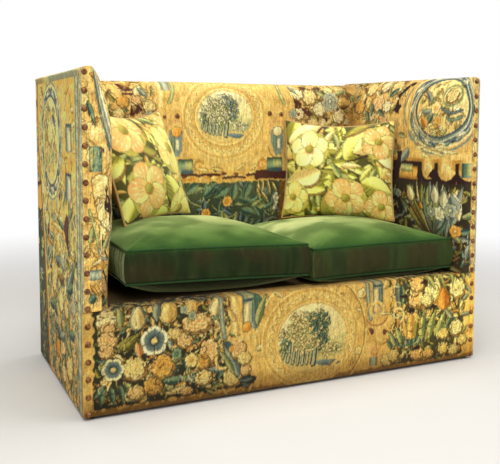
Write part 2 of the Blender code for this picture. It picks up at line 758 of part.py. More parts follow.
def build_front_cover(material, parts, cutters, root):
    """The cover of the seat front, which rolls over the edge and lies on the deck."""
    radius = DECK_EDGE_RADIUS
    inner = radius - COVER
    turns = [0.0] + quarter_turn(EDGE_STEPS)
    outside = [(radius - radius * math.cos(angle),
                DECK_HEIGHT - radius + radius * math.sin(angle)) for angle in turns]
    inside = [(radius - inner * math.cos(angle),
               DECK_HEIGHT - radius + inner * math.sin(angle)) for angle in reversed(turns)]
    flap = [(DECK_FLAP, DECK_HEIGHT), (DECK_FLAP, DECK_HEIGHT - COVER)]
    points = [(0.0, COVER_BOTTOM)] + outside + flap + inside + [(COVER, COVER_BOTTOM)]
    mesh = narrow(outline_mesh(points, OVERALL_WIDTH, ACROSS))
    cover = place("seat_front_cover", mesh, material, parts, root)
    for side, sign in SIDES.items():
        across = sorted((sign * (SEAT_HALF_WIDTH - DECK_CLEARANCE), sign * (HALF_WIDTH + OVERRUN)))
        room = box_mesh((across[0], COVER, DECK_HEIGHT - radius - OVERRUN),
                        (across[1], DECK_FLAP + OVERRUN, DECK_HEIGHT + OVERRUN))
        end = place_cutter(f"flap_end_{side}", narrow(room), cutters, root)
        combine(cover, end, "DIFFERENCE")
    low_heads = nail_heads_mesh([place_of for place_of in nail_places()
                                 if place_of[1] < DECK_HEIGHT])
    heads = place_cutter("seat_front_nails", low_heads, cutters, root)
    combine(cover, heads, "UNION")


def build_dust_cover(material, parts, root):
    """The thin cloth tacked under the frame."""
    half = HALF_WIDTH - DUST_COVER_MARGIN
    sheet = box_mesh((-half, DUST_COVER_MARGIN, COVER_BOTTOM),
                     (half, COVERED_DEPTH - DUST_COVER_MARGIN, COVER_BOTTOM + DUST_COVER))
    place("dust_cover", narrow(sheet), material, parts, root)


def build_glides(material, parts, root):
    """A glide under each post."""
    inset = SKIN + POST / 2
    for side, sign in SIDES.items():
        for end, depth in (("front", inset), ("rear", COVERED_DEPTH - inset)):
            middle = sign * (HALF_WIDTH - inset) * (1 - NARROWING_RATE * depth)
            spot = Matrix.Translation((middle, depth, GLIDE_HEIGHT / 2))
            bm = bmesh.new()
            bmesh.ops.create_cone(bm, cap_ends=True, segments=GLIDE_SIDES,
                                  radius1=GLIDE_FOOT_RADIUS, radius2=GLIDE_TOP_RADIUS,
                                  depth=GLIDE_HEIGHT, matrix=spot)
            glide = place(f"glide_{end}_{side}", new_mesh(bm, "glide"), material, parts, root)
            smooth(glide, GLIDE_SMOOTHING)


# Loose cushions

def bow(value, power):
    """One in the middle of a side and zero at its ends."""
    return max(0.0, 1 - value * value) ** power


def seat_cushion_mesh(side, lift, tilt):
    """A boxed cushion with crowned faces and sides drawn in between its corners.

    lift is how high the lower seam of its border lies over the deck, and tilt how much
    one end lies above the other. Its belly is flat where it rests on the deck.
    """
    mesh = cell_block_mesh((CUSHION_CELLS, CUSHION_CELLS, CUSHION_BORDER_CELLS))
    width = CUSHION_SHARED_WIDTH - SIDES[side] * CUSHION_PARTING_OFFSET
    middle_x = SIDES[side] * (SEAT_HALF_WIDTH - CUSHION_ARM_GAPS[side] - width / 2)
    middle_y = CUSHION_SETBACK + CUSHION_DEPTH / 2
    half_x = width / 2 - CUSHION_BULGE
    half_y = CUSHION_DEPTH / 2 - CUSHION_BULGE
    rest = DECK_HEIGHT + GAP
    middle_z = rest + lift + CUSHION_BORDER_HEIGHT / 2
    for vertex in mesh.vertices:
        u = math.sin(vertex.co.x * math.pi)
        v = math.sin(vertex.co.y * math.pi)
        w = 2 * vertex.co.z
        bulge = CUSHION_BULGE * (1 - w * w)
        across = u * (half_x - CUSHION_DRAW_IN * bow(v, 1.0))
        across += bulge * math.copysign(abs(u) ** CUSHION_BULGE_POWER, u)
        deep = v * (half_y - CUSHION_DRAW_IN * bow(u, 1.0))
        deep += bulge * math.copysign(abs(v) ** CUSHION_BULGE_POWER, v)
        dome = bow(u, CUSHION_CROWN_POWER) * bow(v, CUSHION_CROWN_POWER)
        swell = CUSHION_CROWN if w > 0 else CUSHION_BELLY
        height = middle_z + w * CUSHION_BORDER_HEIGHT / 2 - tilt * u
        if abs(w) > 1 - 1 / CUSHION_BORDER_CELLS:
            height += math.copysign(swell * dome, w)
        vertex.co = (middle_x + across, middle_y + deep, max(rest, height))
    return narrow(mesh)


def pillow_mesh(side):
    """A knife-edged square cushion, leant back, turned in and slumped to its arm."""
    mesh = cell_block_mesh((PILLOW_CELLS, 1, PILLOW_CELLS))
    sign = SIDES[side]
    half_x = PILLOW_WIDTH / 2
    half_z = PILLOW_HEIGHT / 2
    for vertex in mesh.vertices:
        u = math.sin(vertex.co.x * math.pi)
        v = math.sin(vertex.co.z * math.pi)
        across = u * (half_x - PILLOW_DRAW_IN * bow(v, 1.0))
        dip = PILLOW_TOP_DIP if v > 0 else PILLOW_DRAW_IN
        up = v * (half_z - dip * bow(u, 1.0))
        fullness = bow(u, PILLOW_FULLNESS) * bow(v, PILLOW_FULLNESS)
        thick = PILLOW_EDGE + (PILLOW_THICKNESS - PILLOW_EDGE) * fullness
        slump = PILLOW_SLUMP_SHARES[side] * up
        vertex.co = (across + slump, vertex.co.y * thick, up)
    turn = Matrix.Rotation(PILLOW_TURNS[side], 4, "Z")
    lean = Matrix.Rotation(-PILLOW_LEANS[side], 4, "X")
    start = Matrix.Translation((sign * (SEAT_HALF_WIDTH - PILLOW_START_FROM_ARM),
                                SEAT_BACK - PILLOW_START_FROM_BACK, ARM_HEIGHT))
    mesh.transform(start @ turn @ lean)
    return mesh


def sample_points(mesh):
    """The corners, edge middles and face middles of a mesh."""
    points = [vertex.co.copy() for vertex in mesh.vertices]
    points += [(mesh.vertices[edge.vertices[0]].co + mesh.vertices[edge.vertices[1]].co) / 2
               for edge in mesh.edges]
    return points + [face.center.copy() for face in mesh.polygons]


def tree_of(mesh):
    """A search tree of a mesh's faces."""
    return BVHTree.FromPolygons([vertex.co for vertex in mesh.vertices],
                                [tuple(face.vertices) for face in mesh.polygons])


def move_until_near(mesh, standing, direction, gap):
    """Move a mesh along a direction until only a gap is left to the one that stands."""
    direction = Vector(direction)
    standing_tree = tree_of(standing)
    moving_tree = tree_of(mesh)
    travels = []
    for point in sample_points(mesh):
        hit = standing_tree.ray_cast(point, direction)
        if hit[0] is not None:
            travels.append(hit[3])
    for point in sample_points(standing):
        hit = moving_tree.ray_cast(point, -direction)
        if hit[0] is not None:
            travels.append(hit[3])
    mesh.transform(Matrix.Translation(direction * (min(travels) - gap)))


def build_cushions(velvet, print_cloth, parts, root):
    """The seat cushions, and a scatter cushion settled into each corner."""
    lifts = {"left": (LEFT_CUSHION_LIFT, LEFT_CUSHION_TILT),
             "right": (RIGHT_CUSHION_LIFT, RIGHT_CUSHION_TILT)}
    back = narrow(box_mesh((-HALF_WIDTH, SEAT_BACK - BACK_CROWN, 0.0),
                           (HALF_WIDTH, COVERED_DEPTH, HOOK_HEIGHT)))
    for side, sign in SIDES.items():
        seat = seat_cushion_mesh(side, *lifts[side])
        pillow = pillow_mesh(side)
        arm = arm_pad_mesh(sign)
        move_until_near(pillow, seat, (0, 0, -1), PILLOW_REST_GAP)
        for side_gap in (PILLOW_APPROACH, PILLOW_SIDE_GAP):
            move_until_near(pillow, arm, (sign, 0, 0), side_gap)
            move_until_near(pillow, back, (0, 1, 0), side_gap)
            move_until_near(pillow, seat, (0, 0, -1), PILLOW_REST_GAP)
        bpy.data.meshes.remove(arm)
        cushion = place(f"seat_cushion_{side}", seat, velvet, parts, root)
        smooth(cushion, CUSHION_SMOOTHING)
        scatter = place(f"scatter_cushion_{side}", pillow, print_cloth, parts, root)
        smooth(scatter, PILLOW_SMOOTHING)
    bpy.data.meshes.remove(back)


def main():
    """Build the settee."""
    clear_scene()
    parts = make_collection("settee")
    cutters = make_collection("settee cutters")
    root = bpy.data.objects.new("front_face", None)
    root.location = (0.0, FRONT_PLANE, 0.0)
    parts.objects.link(root)

    beech = make_material("beech", (0.45, 0.28, 0.14), 0.6)
    jute = make_material("jute", (0.42, 0.32, 0.18), 0.9)
    hessian = make_material("hessian", (0.50, 0.40, 0.24), 0.95)
    steel = make_material("spring steel", (0.45, 0.42, 0.38), 0.35, 0.9)
    tapestry = make_material("tapestry", (0.55, 0.38, 0.14), 0.85)
    lining = make_material("black lining", (0.02, 0.02, 0.02), 0.9)
    velvet = make_material("green velvet", (0.06, 0.10, 0.03), 0.7)
    print_cloth = make_material("printed cotton", (0.55, 0.30, 0.15), 0.8)
    nail_metal = make_material("aged nail", (0.25, 0.10, 0.05), 0.45, 0.8)

    def timber(name, low, high):
        """One squared timber with eased edges."""
        piece = place(name, narrow(box_mesh(low, high)), beech, parts, root)
        ease_edges(piece, TIMBER_EDGE)

    build_posts(timber)
    build_rails(timber)
    build_support_blocks(timber)
    build_corner_blocks(beech, parts, root)
    build_webbing(jute, parts, cutters, root)
    build_springs(steel, parts, root)
    build_canvas(hessian, parts, root)
    build_deck(hessian, parts, root)
    build_arm_pads(tapestry, parts, cutters, root)
    build_back_pad(tapestry, parts, cutters, root)
    build_outside_covers(tapestry, parts, root)
    build_arm_facings(tapestry, parts, cutters, root)
    build_front_cover(tapestry, parts, cutters, root)
    build_dust_cover(lining, parts, root)
    build_glides(nail_metal, parts, root)
    build_cushions(velvet, print_cloth, parts, root)


main()
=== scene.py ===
"""The looks of a two-seat sofa in old tapestry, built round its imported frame.

The covers are meshes fine enough to hold the colours of their woven pictures. Each
picture is painted in millimetres by a small painter and read, in metres, where the
cloth lies. The cushions are blown up as cloth with their seams held, and piped
afterwards.
"""

import logging
import math
from collections.abc import Callable, Iterator
from contextlib import contextmanager
from dataclasses import dataclass, field
from enum import Enum

import bmesh
import bpy
import numpy as np
from mathutils import Matrix, Vector


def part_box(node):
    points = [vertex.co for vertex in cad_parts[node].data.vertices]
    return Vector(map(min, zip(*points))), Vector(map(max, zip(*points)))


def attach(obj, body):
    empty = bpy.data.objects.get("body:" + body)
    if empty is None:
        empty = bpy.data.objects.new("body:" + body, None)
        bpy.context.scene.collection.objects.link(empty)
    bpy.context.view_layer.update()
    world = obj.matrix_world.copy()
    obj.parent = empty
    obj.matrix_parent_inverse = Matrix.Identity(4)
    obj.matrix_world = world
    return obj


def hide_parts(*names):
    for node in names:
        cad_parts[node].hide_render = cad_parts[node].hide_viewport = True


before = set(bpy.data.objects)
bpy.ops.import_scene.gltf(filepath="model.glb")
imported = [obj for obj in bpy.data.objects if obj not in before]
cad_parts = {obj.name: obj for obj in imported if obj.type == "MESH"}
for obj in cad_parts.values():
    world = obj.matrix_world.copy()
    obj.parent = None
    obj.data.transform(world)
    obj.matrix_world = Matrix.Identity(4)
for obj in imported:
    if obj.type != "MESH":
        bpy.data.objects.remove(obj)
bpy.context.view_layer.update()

Shade = tuple[float, float, float]
Spot = tuple[float, float]
Area = tuple[slice, slice]


def shade(code: str) -> Shade:
    """Turn a six-digit colour code into display red, green and blue from 0 to 1."""
    return tuple(int(code[at:at + 2], 16) / 255 for at in (0, 2, 4))


def smooth_step(value: np.ndarray) -> np.ndarray:
    """Ease values between 0 and 1, and clamp the rest."""
    held = np.clip(value, 0.0, 1.0)
    return held * held * (3.0 - 2.0 * held)


def blend(first: np.ndarray | Shade, second: np.ndarray | Shade,
          share: np.ndarray) -> np.ndarray:
    """Turn colours into others by a share for each place."""
    share = np.clip(share, 0, 1)[..., None]
    return np.asarray(first) * (1 - share) + np.asarray(second) * share


def lattice_noise(x: np.ndarray, y: np.ndarray, cell: float, seed: int) -> np.ndarray:
    """Smooth noise between 0 and 1 that is the same on every run.

    Args:
        x, y: Places.
        cell: The size of one patch of the noise, in the unit of the places.
        seed: Chooses one of many patterns.

    Returns:
        One value for each place.
    """
    along, up = np.asarray(x) / cell, np.asarray(y) / cell
    column, row = np.floor(along).astype(np.int64), np.floor(up).astype(np.int64)

    def corner(right: int, above: int) -> np.ndarray:
        """The random value of one lattice corner of each place."""
        mixed = (column + right) * 374761393 + (row + above) * 668265263 + seed * 144269504
        mixed = ((mixed ^ (mixed >> 13)) * 1274126177) & 0x7FFFFFFF
        return ((mixed ^ (mixed >> 16)) & 0xFFFF) / 65535.0

    right_part, up_part = smooth_step(along - column), smooth_step(up - row)
    below = corner(0, 0) * (1 - right_part) + corner(1, 0) * right_part
    above = corner(0, 1) * (1 - right_part) + corner(1, 1) * right_part
    return below * (1 - up_part) + above * up_part


def ray(x: float, y: float, length: float, turn: float) -> Spot:
    """The place at a length and a turn in degrees from (x, y)."""
    return x + length * math.cos(math.radians(turn)), y + length * math.sin(math.radians(turn))


def arc(x: float, y: float, across: float, up: float, start: float, end: float,
        steps: int = 16) -> list[Spot]:
    """Points along an arc of an ellipse, with its angles in degrees."""
    angles = np.radians(np.linspace(start, end, steps))
    return [(x + across * math.cos(a), y + up * math.sin(a)) for a in angles]


def bow(start: Spot, bend: Spot, end: Spot, steps: int = 12) -> list[Spot]:
    """Points along a curve from start to end that is drawn towards a third point."""
    return [tuple((1 - part) ** 2 * a + 2 * part * (1 - part) * b + part ** 2 * c
                  for a, b, c in zip(start, bend, end)) for part in np.linspace(0.0, 1.0, steps)]


class Dye(Enum):
    """Wool and print colours, each as a dark, a middle and a light shade."""

    GOLD = ("a67a34", "d3a95f", "ecca86")
    STRAW = ("c09a58", "e2c07c", "f6e2a8")
    CREAM = ("b59a6a", "e6d3a0", "fbf1d0")
    OCHRE = ("7d5420", "bb8638", "dfb05c")
    SALMON = ("a8683c", "dca46c", "f4cf9c")
    ORANGE = ("98541a", "d98f34", "f2ba62")
    SLATE = ("47565e", "7c8c90", "b3b8a8")
    NAVY = ("1c2836", "3a5064", "7d92a0")
    TEAL = ("1e3436", "43665f", "86a08a")
    SAGE = ("545f42", "8f9a6a", "c6c68e")
    OLIVE = ("3c3a18", "77742f", "b3a958")
    MAROON = ("241012", "46221e", "7c4430")
    WHITE = ("a09a80", "dcd6bc", "fffbea")
    BARK = ("2c1f12", "5f4526", "a07c48")
    LIME = ("6b6a22", "cdc665", "f7efae")

    @property
    def dark(self) -> Shade:
        """The darkest of the three shades."""
        return shade(self.value[0])

    @property
    def middle(self) -> Shade:
        """The middle shade."""
        return shade(self.value[1])

    @property
    def light(self) -> Shade:
        """The lightest of the three shades."""
        return shade(self.value[2])

    def lit(self, light: np.ndarray) -> np.ndarray:
        """Shades from the middle one at 0 to the lightest at 1."""
        return blend(self.middle, self.light, light)

    def rolled(self, light: np.ndarray) -> np.ndarray:
        """Shades from the darkest at 0 through the middle one to the lightest at 1."""
        return np.where(light[..., None] < 0.5, blend(self.dark, self.middle, 2 * light),
                        self.lit(2 * light - 1))


@dataclass
class Picture:
    """A woven or printed picture, painted in millimetres and read where the cloth lies."""

    low: Spot
    high: Spot
    ground: Dye
    seed: int = 1
    pitch: float = 1.25
    outline: float = 1.4
    ink: Dye = Dye.BARK
    ground_cell: float = 50.0
    vein_pitch: float = 6.0
    midrib: float = 0.6
    paint: np.ndarray = field(init=False, repr=False)
    random: np.random.Generator = field(init=False, repr=False)

    def __post_init__(self) -> None:
        """Lay the ground colour, with patches where the dye took more or less."""
        columns, rows = (int((high - low) / self.pitch) + 2
                         for low, high in zip(self.low, self.high))
        self.random = np.random.default_rng(self.seed)
        self.paint = np.empty((rows, columns, 3), np.float32)
        area, x, y = self.window(self.low[0], self.high[0], self.low[1], self.high[1])
        self.paint[area] = self.ground.lit(lattice_noise(x, y * 3, self.ground_cell, self.seed))

    def window(self, left: float, right: float, bottom: float,
               top: float) -> tuple[Area, np.ndarray, np.ndarray]:
        """The part of the picture inside a box.

        Args:
            left, right, bottom, top: The box.

        Returns:
            The slices of the part, which may be empty, and the places of its points.
        """
        slices, places = [], []
        for low, start, end, count in zip(self.low, (left, bottom), (right, top),
                                          self.paint.shape[1::-1]):
            first = max(0, int((start - low) / self.pitch))
            last = max(first, min(count, int((end - low) / self.pitch) + 2))
            slices.insert(0, slice(first, last))
            places.append(low + np.arange(first, last) * self.pitch)
        return tuple(slices), *np.meshgrid(*places)

    def lay(self, area: Area, mask: np.ndarray, colour: np.ndarray | Shade) -> None:
        """Blend one colour, or one for each point, into a part by a mask from 0 to 1."""
        part = self.paint[area]
        part += (np.asarray(colour, np.float32) - part) * mask[..., None].astype(np.float32)

    def inside(self, distance: np.ndarray) -> np.ndarray:
        """A soft-edged mask of the points whose signed distance is below zero."""
        return np.clip(0.5 - distance / self.pitch, 0.0, 1.0)

    def each(self, motif: Callable[..., None], *rows: tuple, **more: Dye) -> None:
        """Paint one motif for each row of its measures."""
        for row in rows:
            motif(*row, **more)

    def pick(self, dyes: list[Dye]) -> Dye:
        """One of some dyes, by chance."""
        return dyes[int(self.random.integers(len(dyes)))]

    def turned(self, x: float, y: float, reach: float,
               turn: float) -> tuple[Area, np.ndarray, np.ndarray]:
        """The part within reach of (x, y), and its places along and across a turned axis."""
        area, px, py = self.window(x - reach, x + reach, y - reach, y + reach)
        c, s = math.cos(math.radians(turn)), math.sin(math.radians(turn))
        return area, (px - x) * c + (py - y) * s, -(px - x) * s + (py - y) * c

    def spot(self, x: float, y: float, across: float, up: float, dye: Dye,
             turn: float = 0.0, lined: bool = False) -> None:
        """An oval, lit from its upper left.

        Args:
            x, y: Its middle.
            across, up: Its half width and half height.
            dye: Its colour.
            turn: Its turn in degrees.
            lined: Whether a dark line runs round it.
        """
        area, u, v = self.turned(x, y, max(across, up) + self.outline, turn)
        u, v = u / across, v / up
        distance = (np.hypot(u, v) - 1) * min(across, up)
        if lined:
            self.lay(area, self.inside(distance - self.outline), self.ink.dark)
        self.lay(area, self.inside(distance), dye.lit(smooth_step(0.5 + 0.35 * (v - u))))

    def stroke(self, points: list[Spot], width: float, colour: Shade,
               taper: float = 0.0) -> None:
        """A line through points.

        Args:
            points: The places that it runs through.
            width: Its width at the start.
            colour: Its colour.
            taper: The share of its width that it loses by its end.
        """
        spots = np.asarray(points)
        low, high = spots.min(0) - width, spots.max(0) + width
        area, x, y = self.window(low[0], high[0], low[1], high[1])
        best = np.full(x.shape, np.inf)
        count = len(spots) - 1
        for index in range(count):
            part, away = self.along(x, y, spots[index], spots[index + 1])
            best = np.minimum(best, away - width / 2 * (1 - taper * (index + part) / count))
        self.lay(area, self.inside(best), colour)

    def along(self, x: np.ndarray, y: np.ndarray, start: Spot,
              end: Spot) -> tuple[np.ndarray, np.ndarray]:
        """How far along a straight edge each place is, from 0 to 1, and how far from it."""
        dx, dy = end[0] - start[0], end[1] - start[1]
        part = np.clip(((x - start[0]) * dx + (y - start[1]) * dy)
                       / max(dx * dx + dy * dy, 1e-6), 0, 1)
        return part, np.hypot(x - start[0] - part * dx, y - start[1] - part * dy)

    def band(self, points: list[Spot], width: float, dye: Dye, taper: float = 0.0) -> None:
        """A rolled ribbon: a dark edge, a middle shade and a light line along it."""
        self.stroke(points, width + 2 * self.outline, dye.dark, taper)
        self.stroke(points, width, dye.middle, taper)
        self.stroke(points, width * 0.35, dye.light, taper)

    def leaf(self, x: float, y: float, length: float, width: float, turn: float, dye: Dye,
             bend: float = 0.0, edge: Dye = Dye.BARK) -> None:
        """A pointed leaf with a midrib, side veins and one half in shade.

        Args:
            x, y: Where it leaves its stem.
            length, width: Its size.
            turn: The way that it points in degrees.
            dye: Its colour.
            bend: How far its tip curls aside, as a share of its length.
            edge: The colour of the line round it.
        """
        area, u, v = self.turned(x, y, length * (1 + abs(bend)) + width, turn)
        u = u / length
        v = v - bend * length * u * u
        half = width / 2 * np.sin(math.pi * np.clip(u, 0, 1) ** 0.75)
        beyond = np.maximum(np.maximum(-u, u - 1), 0) * length
        distance = np.where(beyond > 0, np.hypot(beyond, v), np.abs(v) - half)
        self.lay(area, self.inside(distance - self.outline), edge.dark)
        veins = 0.5 + 0.5 * np.cos((u * length - 0.7 * np.abs(v)) * 2 * math.pi / self.vein_pitch)
        light = smooth_step(0.5 + v / (0.35 * width)) * 0.7 + 0.3 * veins ** 2
        light = np.maximum(light, self.inside(np.abs(v) - self.midrib))
        self.lay(area, self.inside(distance), dye.rolled(light))

    def blossom(self, x: float, y: float, radius: float, petals: int, dye: Dye,
                heart: Dye | None = None, turn: float = 0.0, flat: float = 1.0,
                depth: float = 0.3, rim: Dye | None = None, line: Dye | None = None) -> None:
        """An open flower.

        Args:
            x, y: Its middle.
            radius: Its half width.
            petals: How many petals it has.
            dye: The colour of the petals.
            heart: The colour of its middle, or None for none.
            turn: Its turn in degrees.
            flat: Its height as a share of its width.
            depth: How deep the notches between the petals are.
            rim: The colour of the petals' edges, or None for the petals' own.
            line: The colour of the line round it, or None for the picture's.
        """
        area, px, py = self.turned(x, y, radius + self.outline, 0.0)
        angle = np.arctan2(py / flat, px) - math.radians(turn)
        rho = np.hypot(px, py / flat) / radius
        lobe = np.abs(np.cos(petals * angle / 2))
        edge = 1 - depth * (1 - lobe ** 0.6)
        distance = (rho - edge) * radius * min(1.0, flat)
        petal = self.inside(distance)
        self.lay(area, self.inside(distance - self.outline), (line or self.ink).dark)
        part = np.clip(rho / edge, 0, 1)
        ribs = 0.5 + 0.5 * np.cos(petals * 4 * angle)
        self.lay(area, petal, dye.lit(smooth_step(part * 1.1 - 0.15 * ribs)))
        if rim is not None:
            self.lay(area, petal * smooth_step((part - 0.7) / 0.12), rim.light)
        gap = self.inside((lobe - 0.10) * radius * 0.5) * smooth_step((part - 0.2) / 0.2)
        self.lay(area, petal * gap * 0.8, dye.dark)
        self.lay(area, self.inside((rho - 0.36) * radius) * 0.45, dye.dark)
        if heart is not None:
            self.spot(x, y, radius * 0.22, radius * 0.22 * flat, heart)

    def rose(self, x: float, y: float, radius: float, dye: Dye, turn: float = 0.0,
             flat: float = 1.0) -> None:
        """A full flower of three rings of petals, with a shadow under it."""
        self.blossom(x + radius * 0.08, y - radius * 0.16, radius * 1.08, 7, Dye.BARK,
                     turn=turn, flat=flat, depth=0.1)
        for ring, (share, petals) in enumerate(((1.0, 7), (0.74, 6), (0.46, 5))):
            self.blossom(x + radius * 0.06 * ring, y + radius * 0.05 * ring, radius * share,
                         petals, dye, turn=turn + 31 * ring, flat=flat, depth=0.24, rim=dye,
                         line=Dye.OCHRE if ring else None)
        self.spot(x + radius * 0.1, y + radius * 0.08, radius * 0.16, radius * 0.14 * flat, dye)

    def tulip(self, x: float, y: float, size: float, turn: float, dye: Dye,
              side: Dye | None = None) -> None:
        """A flower seen from its side, of three tall petals that rise from (x, y)."""
        for hand in (-1, 1):
            self.leaf(x, y, size, size * 0.55, turn - 24 * hand, side or dye, 0.35 * hand)
        self.leaf(x, y, size * 0.96, size * 0.6, turn, dye)

    def frond(self, x: float, y: float, length: float, turn: float, dye: Dye, pairs: int = 5,
              bend: float = 0.0) -> None:
        """A feathered leaf: a curved stem with pairs of leaflets."""
        stem = []
        for part in np.linspace(0, 1, pairs + 2):
            foot = ray(x, y, length * part, turn)
            stem.append(ray(*foot, bend * length * part * part, turn + 90))
        self.stroke(stem, 3.0, dye.dark, 0.5)
        for index, (sx, sy) in enumerate(stem[1:-1]):
            size = length * (0.42 - 0.04 * index)
            lean = turn + math.degrees(math.atan(2 * bend * (index + 1) / (pairs + 1)))
            for hand in (-1, 1):
                self.leaf(sx, sy, size, size * 0.34, lean + hand * 48, dye, bend=0.2 * hand)
        self.leaf(*stem[-2], length * 0.3, length * 0.12, turn + math.degrees(math.atan(bend)), dye)

    def scroll(self, x: float, y: float, size: float, start: float, dye: Dye,
               hand: int = 1) -> None:
        """A volute that winds in to (x, y) from a distance of its size."""
        points = [ray(x, y, size * (1 - part) ** 0.8 + size * 0.08, start + hand * 432 * part)
                  for part in np.linspace(0, 1, 22)]
        self.band(points, size * 0.3, dye, 0.5)
        self.spot(x, y, size * 0.16, size * 0.16, dye)

    def ring(self, x: float, y: float, across: float, up: float, width: float, dye: Dye,
             beads: int = 0) -> None:
        """An oval ring, plain or with waves along it that gold shade runs beside.

        Args:
            x, y: Its middle.
            across, up: Its half width and half height along the middle of the ring.
            width: The width of the ring.
            dye: Its colour.
            beads: How many waves run along it.
        """
        area, px, py = self.window(x - across - width, x + across + width,
                                   y - up - width, y + up + width)
        angle = np.arctan2((py - y) / up, (px - x) / across)
        offset = ((np.hypot((px - x) / across, (py - y) / up) - 1)
                  * np.hypot(across * np.cos(angle), up * np.sin(angle)))
        lines = [(0.0, 0.5, dye.middle)]
        if beads:
            lines += [(0.10, 0.15, Dye.GOLD.dark), (0.0, 0.12, dye.light)]
        for index, (aside, half, colour) in enumerate(lines):
            curl = np.sin(angle * beads) * width * 0.26 if index else 0.0
            reach = np.abs(offset - curl + width * aside) - width * half
            self.lay(area, self.inside(reach), colour)
        for hand, colour in ((-1, dye.dark), (1, dye.light)):
            self.lay(area, self.inside(np.abs(offset - hand * width / 2) - self.outline * 0.6),
                     colour)

    def pillar(self, left: float, right: float, bottom: float, top: float, dye: Dye,
               upright: bool = True) -> None:
        """A round column or roller: light along its middle and dark at its edges."""
        area, x, y = self.window(left, right, bottom, top)
        part = (x - left) / (right - left) if upright else (y - bottom) / (top - bottom)
        mask = self.inside(np.maximum(np.abs(x - (left + right) / 2) - (right - left) / 2,
                                      np.abs(y - (bottom + top) / 2) - (top - bottom) / 2))
        self.lay(area, mask, dye.rolled(np.sin(math.pi * np.clip(part, 0, 1))))

    def patch(self, points: list[Spot], colour: Shade, ragged: float = 0.0) -> None:
        """A filled outline of points, with an edge that may run uneven.

        Args:
            points: The corners in order.
            colour: Its colour.
            ragged: How far the edge strays.
        """
        spots = np.asarray(points)
        low, high = spots.min(0) - ragged, spots.max(0) + ragged
        area, x, y = self.window(low[0], high[0], low[1], high[1])
        stray = (lattice_noise(x, y, 12.0, self.seed + 5) - 0.5) * 2 * ragged
        crossings, away = np.zeros(x.shape, bool), np.full(x.shape, np.inf)
        for start, end in zip(spots, np.roll(spots, -1, axis=0)):
            if start[1] != end[1]:
                rise = (y - start[1]) / (end[1] - start[1])
                crossings ^= ((end[1] > y) != (start[1] > y)) & (
                    x < start[0] + rise * (end[0] - start[0]))
            away = np.minimum(away, self.along(x, y, start, end)[1])
        self.lay(area, self.inside(np.where(crossings, -away, away) + stray), colour)

    def meadow(self, left: float, right: float, bottom: float, top: float, count: int,
               dyes: list[Dye], size: Spot, flowers: float) -> None:
        """Scattered leaves with small flowers among them.

        Args:
            left, right, bottom, top: The box that they grow in.
            count: How many there are.
            dyes: The colours to draw from.
            size: The least and greatest length of a leaf.
            flowers: The share of them that are flowers.
        """
        chance = self.random.uniform
        for _ in range(count):
            x, y = chance(left, right), chance(bottom, top)
            dye, length, turn = self.pick(dyes), chance(*size), chance(0, 360)
            if self.random.random() < flowers:
                self.blossom(x, y, length * 0.38, int(self.random.integers(4, 7)), dye, dye, turn)
            else:
                self.leaf(x, y, length, length * chance(0.25, 0.45), turn, dye,
                          bend=chance(-0.4, 0.4))

    def strands(self, left: float, right: float, bottom: float, top: float, count: int,
                dyes: list[Dye], length: float = 18.0) -> None:
        """Short flecks of other wool along the weft."""
        chance = self.random.uniform
        for _ in range(count):
            x, y, dye = chance(left, right), chance(bottom, top), self.pick(dyes)
            tone = (dye.dark, dye.middle, dye.light)[int(self.random.integers(3))]
            reach = length * chance(0.3, 1.0)
            self.stroke([(x, y), (x + chance(-1, 1) * 2, y + reach)], 2.2, tone, 0.7)

    def grove(self, x: float, y: float, across: float, up: float, dyes: tuple[Dye, Dye],
              lean: int = 1) -> None:
        """An oval view of trees beside a pond.

        Args:
            x, y: Its middle.
            across, up: Its half width and half height.
            dyes: The shaded and the sunlit colour of the leaves.
            lean: 1 or -1, the side that the large tree stands on.
        """
        self.spot(x, y, across, up, Dye.CREAM)
        area, px, py = self.window(x - across, x + across, y - up, y + up)
        oval = self.inside((np.hypot((px - x) / across, (py - y) / up) - 1) * up)
        drop = (y - py) / up + 0.3 * lattice_noise(px, py * 4, 20.0, self.seed)
        self.lay(area, oval * smooth_step((drop - 0.20) / 0.3) * 0.6, Dye.SAGE.middle)
        self.lay(area, oval * smooth_step((drop - 0.60) / 0.2) * 0.7, Dye.STRAW.middle)
        hills = self.inside(np.abs(py - y + up * 0.10 - 0.06 * up * np.sin(px * 0.09)) - up * 0.10)
        self.lay(area, oval * hills * 0.5, Dye.SAGE.light)
        self.spot(x + lean * across * 0.42, y - up * 0.74, across * 0.36, up * 0.09, Dye.NAVY,
                  turn=-6 * lean)
        trunks = ((-0.86, -0.42, 0.05), (-0.72, -0.54, 0.06), (-0.58, -0.62, 0.05),
                  (-0.45, -0.66, 0.05), (-0.32, -0.68, 0.05), (-0.19, -0.68, 0.05),
                  (0.00, -0.72, 0.08))
        for at, foot, thick in trunks:
            tx = x + lean * at * across
            path = bow((tx, y + foot * up), (tx + 0.10 * across * lean, y - 0.1 * up),
                       (tx + 0.03 * across, y + 0.25 * up))
            self.stroke(path, thick * across * 2.1, Dye.NAVY.dark, 0.3)
            self.stroke([(px - lean, py) for px, py in path], thick * across * 1.1,
                        Dye.SLATE.light, 0.4)
        crowns = ((-0.78, 0.02, 0.16, 0.34, 30, 0), (0.20, 0.18, 0.30, 0.50, 67, 0),
                  (0.02, 0.56, 0.36, 0.26, 45, 0), (-0.40, 0.28, 0.36, 0.44, 97, 1),
                  (-0.20, -0.06, 0.36, 0.26, 60, 1), (0.52, -0.36, 0.34, 0.14, 30, 1))
        for at, high, wide, tall, count, sunny in crowns:
            self.spot(x + across * lean * at, y + up * high, across * wide * 0.8, up * tall * 0.8,
                      (dyes[0], Dye.SAGE)[sunny])
            for index in range(count):
                reach = math.sqrt(self.random.random())
                angle = self.random.uniform(0, 2 * math.pi)
                sx = x + across * (lean * at + wide * reach * math.cos(angle))
